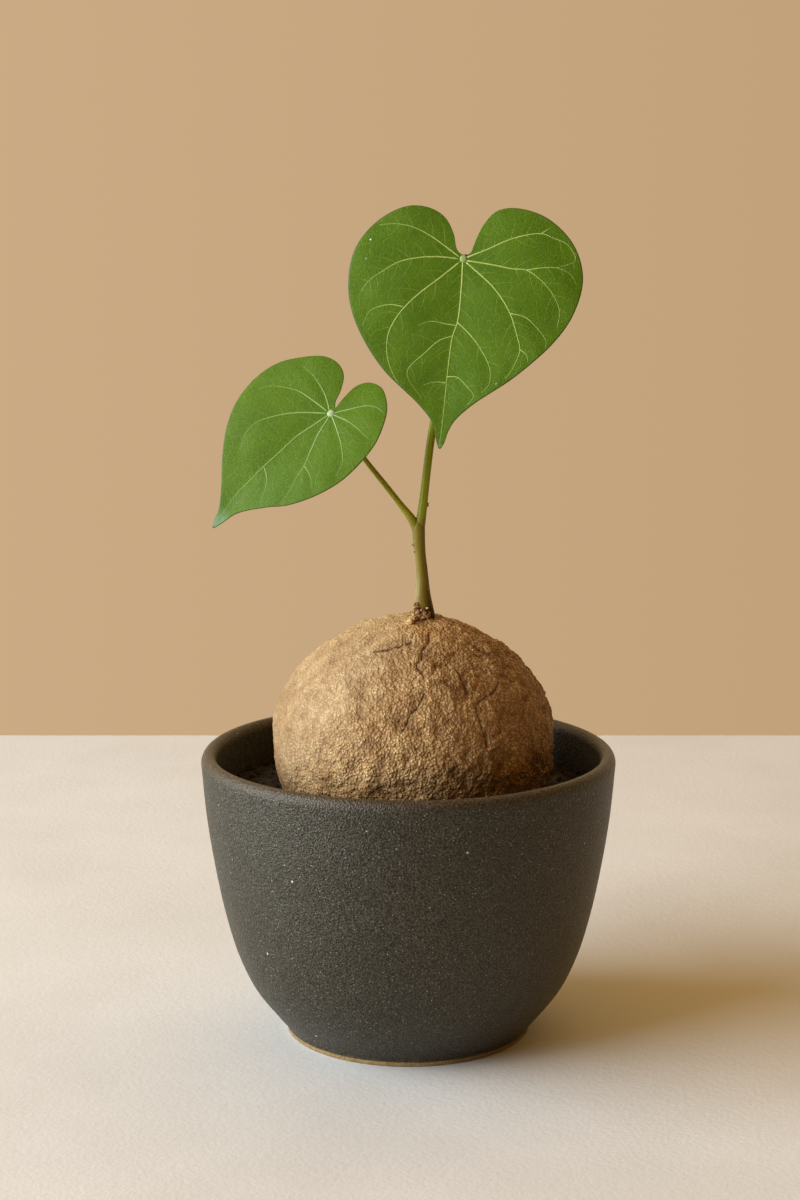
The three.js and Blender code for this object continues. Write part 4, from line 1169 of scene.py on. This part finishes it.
def strand(leaf, path, kind, side, steps=6):
    """A vein half sunk in the blade's upper (side 1) or lower (side -1) face, thinner to its tip."""
    line = curve_through(path, steps)
    count = len(line)
    along = np.gradient(line, axis=0)
    along /= np.linalg.norm(along, axis=1)[:, None]
    share = np.linspace(0, 1, count)
    half = kind["root"] + (kind["tip"] - kind["root"]) * share**0.8
    half[-1] *= 0.5
    stand = kind["stand"] * (half / kind["root"]) * (1 if side > 0 else 1.7)
    centre, _ = lifted(leaf, line, np.full(count, side * BLADE_HALF))
    cross = np.column_stack([-along[:, 1], along[:, 0], np.zeros(count)])
    rings = []
    for turn in np.linspace(0, 2 * math.pi, 8, endpoint=False):
        ring = centre + cross * (half * math.cos(turn))[:, None]
        ring[:, 2] += side * stand * math.sin(turn)
        rings.append(ring)
    rings = np.stack(rings, axis=1)
    fade = np.append(np.repeat(share, rings.shape[1]), [0, 1])
    return loft(rings, centre[0], centre[-1]), fade[:, None]


def twigs(leaf, outline):
    """Fine veins that leave the larger ones on both sides, arch towards the tip and stop short of others."""
    draw = random.Random(leaf["seed"])
    found, taken = [], np.full((1, 2), 999.0)
    for path in leaf["main"] + leaf["forks"]:
        line = curve_through(path, 10)
        length = np.linalg.norm(np.diff(line, axis=0), axis=1).sum()
        roots = evenly(line, max(3, int(length / TWIG_SPACING) + 1))
        for root, way in list(zip(roots, np.gradient(roots, axis=0)))[1:-1]:
            for side in (1, -1):
                angle = math.atan2(way[1], way[0]) + side * math.radians(draw.uniform(*TWIG_TURN))
                point = root + way * draw.uniform(-0.2, 0.2)
                twig = [point]
                for step in range(TWIG_STEPS):
                    angle -= side * math.radians(draw.uniform(*TWIG_BEND))
                    point = point + TWIG_STEP * np.array([math.cos(angle), math.sin(angle)])
                    meets = step > 2 and distance_to(leaf["vein_points"], point[None])[0] < TWIG_MEETS
                    crowded = distance_to(taken, point[None])[0] < TWIG_CLEAR
                    if meets or crowded or distance_to(outline, point[None])[0] < TWIG_CLEAR:
                        break
                    twig.append(point)
                if len(twig) >= TWIG_SHORTEST:
                    found.append(twig[::2])
                    taken = np.vstack([taken, twig[2:]])
    return found


def leaf_shape(leaf):
    """A blade with its boss, its veins on both faces and its small pale dots."""
    lines = leaf["main"] + leaf["forks"]
    leaf["vein_points"] = np.vstack([curve_through(path, 8) for path in lines])
    outline = evenly(curve_through(leaf["outline"], 16, closed=True), 200, closed=True)
    shape = Shape()
    blade_part, finish, flat, near = blade(leaf)
    to_tip = np.linalg.norm(flat - max(leaf["outline"]), axis=1)
    shape.add(blade_part, finish, flat=np.column_stack([flat, np.zeros(len(flat))]),
              vein_distance=near[:, None], tip_distance=to_tip[:, None])
    fine = twigs(leaf, outline)
    for side in (1, -1):
        for paths, kind, steps, finish in (
                (leaf["main"], MAIN_VEIN, 6, LARGE_VEINS),
                (leaf["forks"], FORK_VEIN, 6, LARGE_VEINS),
                (fine, TWIG_VEIN, 2, TWIGS)):
            for path in paths:
                part, fade = strand(leaf, path, kind, side, steps)
                shape.add(part, finish, fade=fade)
    draw = random.Random(1)
    boss = np.array(leaf["boss"], float)
    extras = [(boss, BOSS_SIZE, BOSS), (boss + NUB_OFF, NUB_SIZE, NUB)]
    extras += [((u, v), [half, half, 0.1], DOT) for u, v, half in leaf["dots"]]
    for place, size, finish in extras:
        centre, _ = lifted(leaf, np.array([place], float), np.array([BLADE_HALF * 0.8]))
        shape.add(crumb(draw, centre[0], size, 0.12, 3), finish)
    to_plant = np.array(leaf_frame(leaf))
    shape.corners = [part @ to_plant[:3, :3].T + to_plant[:3, 3] for part in shape.corners]
    return shape


def light(name, from_left, above, distance, size, power, color):
    """A soft square light aimed at the plant, placed by its turn from left to front and its height."""
    data = bpy.data.lights.new(name, "AREA")
    data.size = size * MM
    data.energy = power
    data.color = color
    turn, rise = math.radians(from_left), math.radians(above)
    way = Vector((-math.cos(turn) * math.cos(rise), -math.sin(turn) * math.cos(rise), math.sin(rise)))
    lamp = bpy.data.objects.new(name, data)
    lamp.location = (Vector(LIGHT_AIM) + way * distance) * MM
    lamp.rotation_euler = way.to_track_quat("Z", "Y").to_euler()
    lamp.visible_camera = False
    bpy.context.scene.collection.objects.link(lamp)


def set_room():
    """Plain tan surroundings, a little darker to the right, that light the plant from behind and above."""
    world = bpy.data.worlds.new("room")
    world.use_nodes = True
    tree = Tree(world.node_tree)
    way = tree.node("ShaderNodeTexCoord").outputs["Generated"]
    across, backwards, upwards = tree.node("ShaderNodeSeparateXYZ", {0: way}).outputs
    wall = tree.blend(tree.band(across, -0.35, 0.35, smooth=False), WALL_LEFT, WALL_RIGHT)
    seen = tree.node("ShaderNodeBackground", {"Color": wall, "Strength": 1.0}).outputs[0]
    behind = tree.scaled(LIGHT_BEHIND, tree.math("MAXIMUM", backwards, 0.0))
    above = tree.scaled(LIGHT_ABOVE, tree.math("MAXIMUM", upwards, 0.0))
    lit = tree.node("ShaderNodeBackground", {"Color": tree.vector("ADD", behind, above)}).outputs[0]
    direct = tree.node("ShaderNodeLightPath").outputs["Is Camera Ray"]
    both = tree.node("ShaderNodeMixShader", {0: direct, 1: lit, 2: seen}).outputs[0]
    tree.tree.links.new(both, world.node_tree.nodes["World Output"].inputs["Surface"])
    bpy.context.scene.world = world


def set_stage():
    """The table, the room, the soft light and the camera."""
    mesh = bpy.data.meshes.new("table")
    corners = [(-TABLE_HALF_WIDTH, TABLE_FRONT_EDGE), (TABLE_HALF_WIDTH, TABLE_FRONT_EDGE),
               (TABLE_HALF_WIDTH, TABLE_BACK_EDGE), (-TABLE_HALF_WIDTH, TABLE_BACK_EDGE)]
    mesh.from_pydata([(x * MM, y * MM, 0) for x, y in corners], [], [(0, 1, 2, 3)])
    mesh.materials.append(table_top())
    table = bpy.data.objects.new("table", mesh)
    bpy.context.scene.collection.objects.link(table)

    set_room()
    light("key", *KEY_LIGHT)

    data = bpy.data.cameras.new("camera")
    data.lens = CAMERA_LENS
    data.sensor_fit = "VERTICAL"
    data.sensor_height = CAMERA_SENSOR
    data.clip_start = CAMERA_SEES_FROM * MM
    camera = bpy.data.objects.new("camera", data)
    camera.location = Vector(CAMERA_PLACE) * MM
    camera.rotation_euler = (math.radians(90 - CAMERA_PITCH), 0, 0)
    bpy.context.scene.collection.objects.link(camera)
    bpy.context.scene.camera = camera
    bpy.context.scene.view_settings.view_transform = "Standard"


set_stage()

stands_for(made("stoneware_pot", pot_shape(), [stoneware()]), "pot")

soil_finish = potting_soil()
soil = made("potting_soil", soil_shape(), [soil_finish])
stands_for(modified(soil, crumbs_tree(soil_finish)), "soil")

bark = corky_bark()
caudex = made("corky_caudex", caudex_shape(), [bark])
stands_for(modified(caudex, bark_tree(bark)), "caudex")

crust_finishes = [dry_scale(), pale_scale("tan_scale", (0.42, 0.235, 0.08), (0.72, 0.46, 0.2))]
stands_for(made("crown_crust", crust_shape(), crust_finishes), "crown_scales")
stem_finishes = [stem_skin(), pale_scale("leaf_scar", (0.13, 0.085, 0.02), (0.24, 0.17, 0.06))]
stands_for(made("olive_stem", stem_shape(), stem_finishes), "stem")

large_skin = petiole_skin("large_petiole_skin", (0.17, 0.18, 0.002), (0.27, 0.28, 0.005))
# The small petiole has its own warmer tone of the same skin, painted light where the small leaf shades it
small_skin_painted_light = petiole_skin("small_petiole_skin_painted_light", (0.21, 0.18, 0.001), (0.29, 0.26, 0.002))
large_stalk = petiole_shape(LARGE_LEAF, PETIOLE_LARGE, PETIOLE_KNOT)
small_stalk = petiole_shape(SMALL_LEAF, PETIOLE_SMALL)
stands_for(made("large_petiole", large_stalk, [large_skin]), "petiole_large")
stands_for(made("small_petiole", small_stalk, [small_skin_painted_light]), "petiole_small")

under = leaf_under()
nub = vein("boss_nub", (0.16, 0.08, 0.03), (0.24, 0.14, 0.05))
pale_dot = vein("pale_dot", (0.75, 0.8, 0.68), (0.85, 0.88, 0.8))
# The blade's rim is painted dark as the shade on its edge
rim = vein("leaf_rim_painted_shade", (0.03, 0.055, 0.004), (0.045, 0.08, 0.006))
large_finishes = [
    leaf_upper("leaf_upper", (0.082, 0.16, 0.0025), (0.103, 0.188, 0.004), 1.6, 0.25),
    under,
    vein("main_vein", (0.4, 0.5, 0.1), (0.48, 0.57, 0.15), 0.5),
    vein("fine_vein", (0.2, 0.31, 0.03), (0.24, 0.35, 0.045), 0.8),
    vein("leaf_boss", (0.29, 0.38, 0.11), (0.36, 0.45, 0.15)),
    nub,
    pale_dot,
    rim,
]
small_finishes = [
    # The small leaf's upper face has its own darker tone, partly its own colour and partly painted shade
    # where it faces the light
    leaf_upper("small_leaf_upper", (0.08, 0.144, 0.0025), (0.099, 0.17, 0.004), 6, 0.15),
    under,
    vein("small_main_vein", (0.22, 0.33, 0.075), (0.28, 0.39, 0.11), 0.7),
    vein("small_fine_vein", (0.12, 0.215, 0.022), (0.14, 0.235, 0.03), 0.9),
    vein("small_leaf_boss", (0.34, 0.43, 0.2), (0.42, 0.5, 0.26)),
    nub,
    pale_dot,
    rim,
]
stands_for(made("large_blade", leaf_shape(LARGE_LEAF), large_finishes), "leaf_large")
stands_for(made("small_blade", leaf_shape(SMALL_LEAF), small_finishes), "leaf_small")
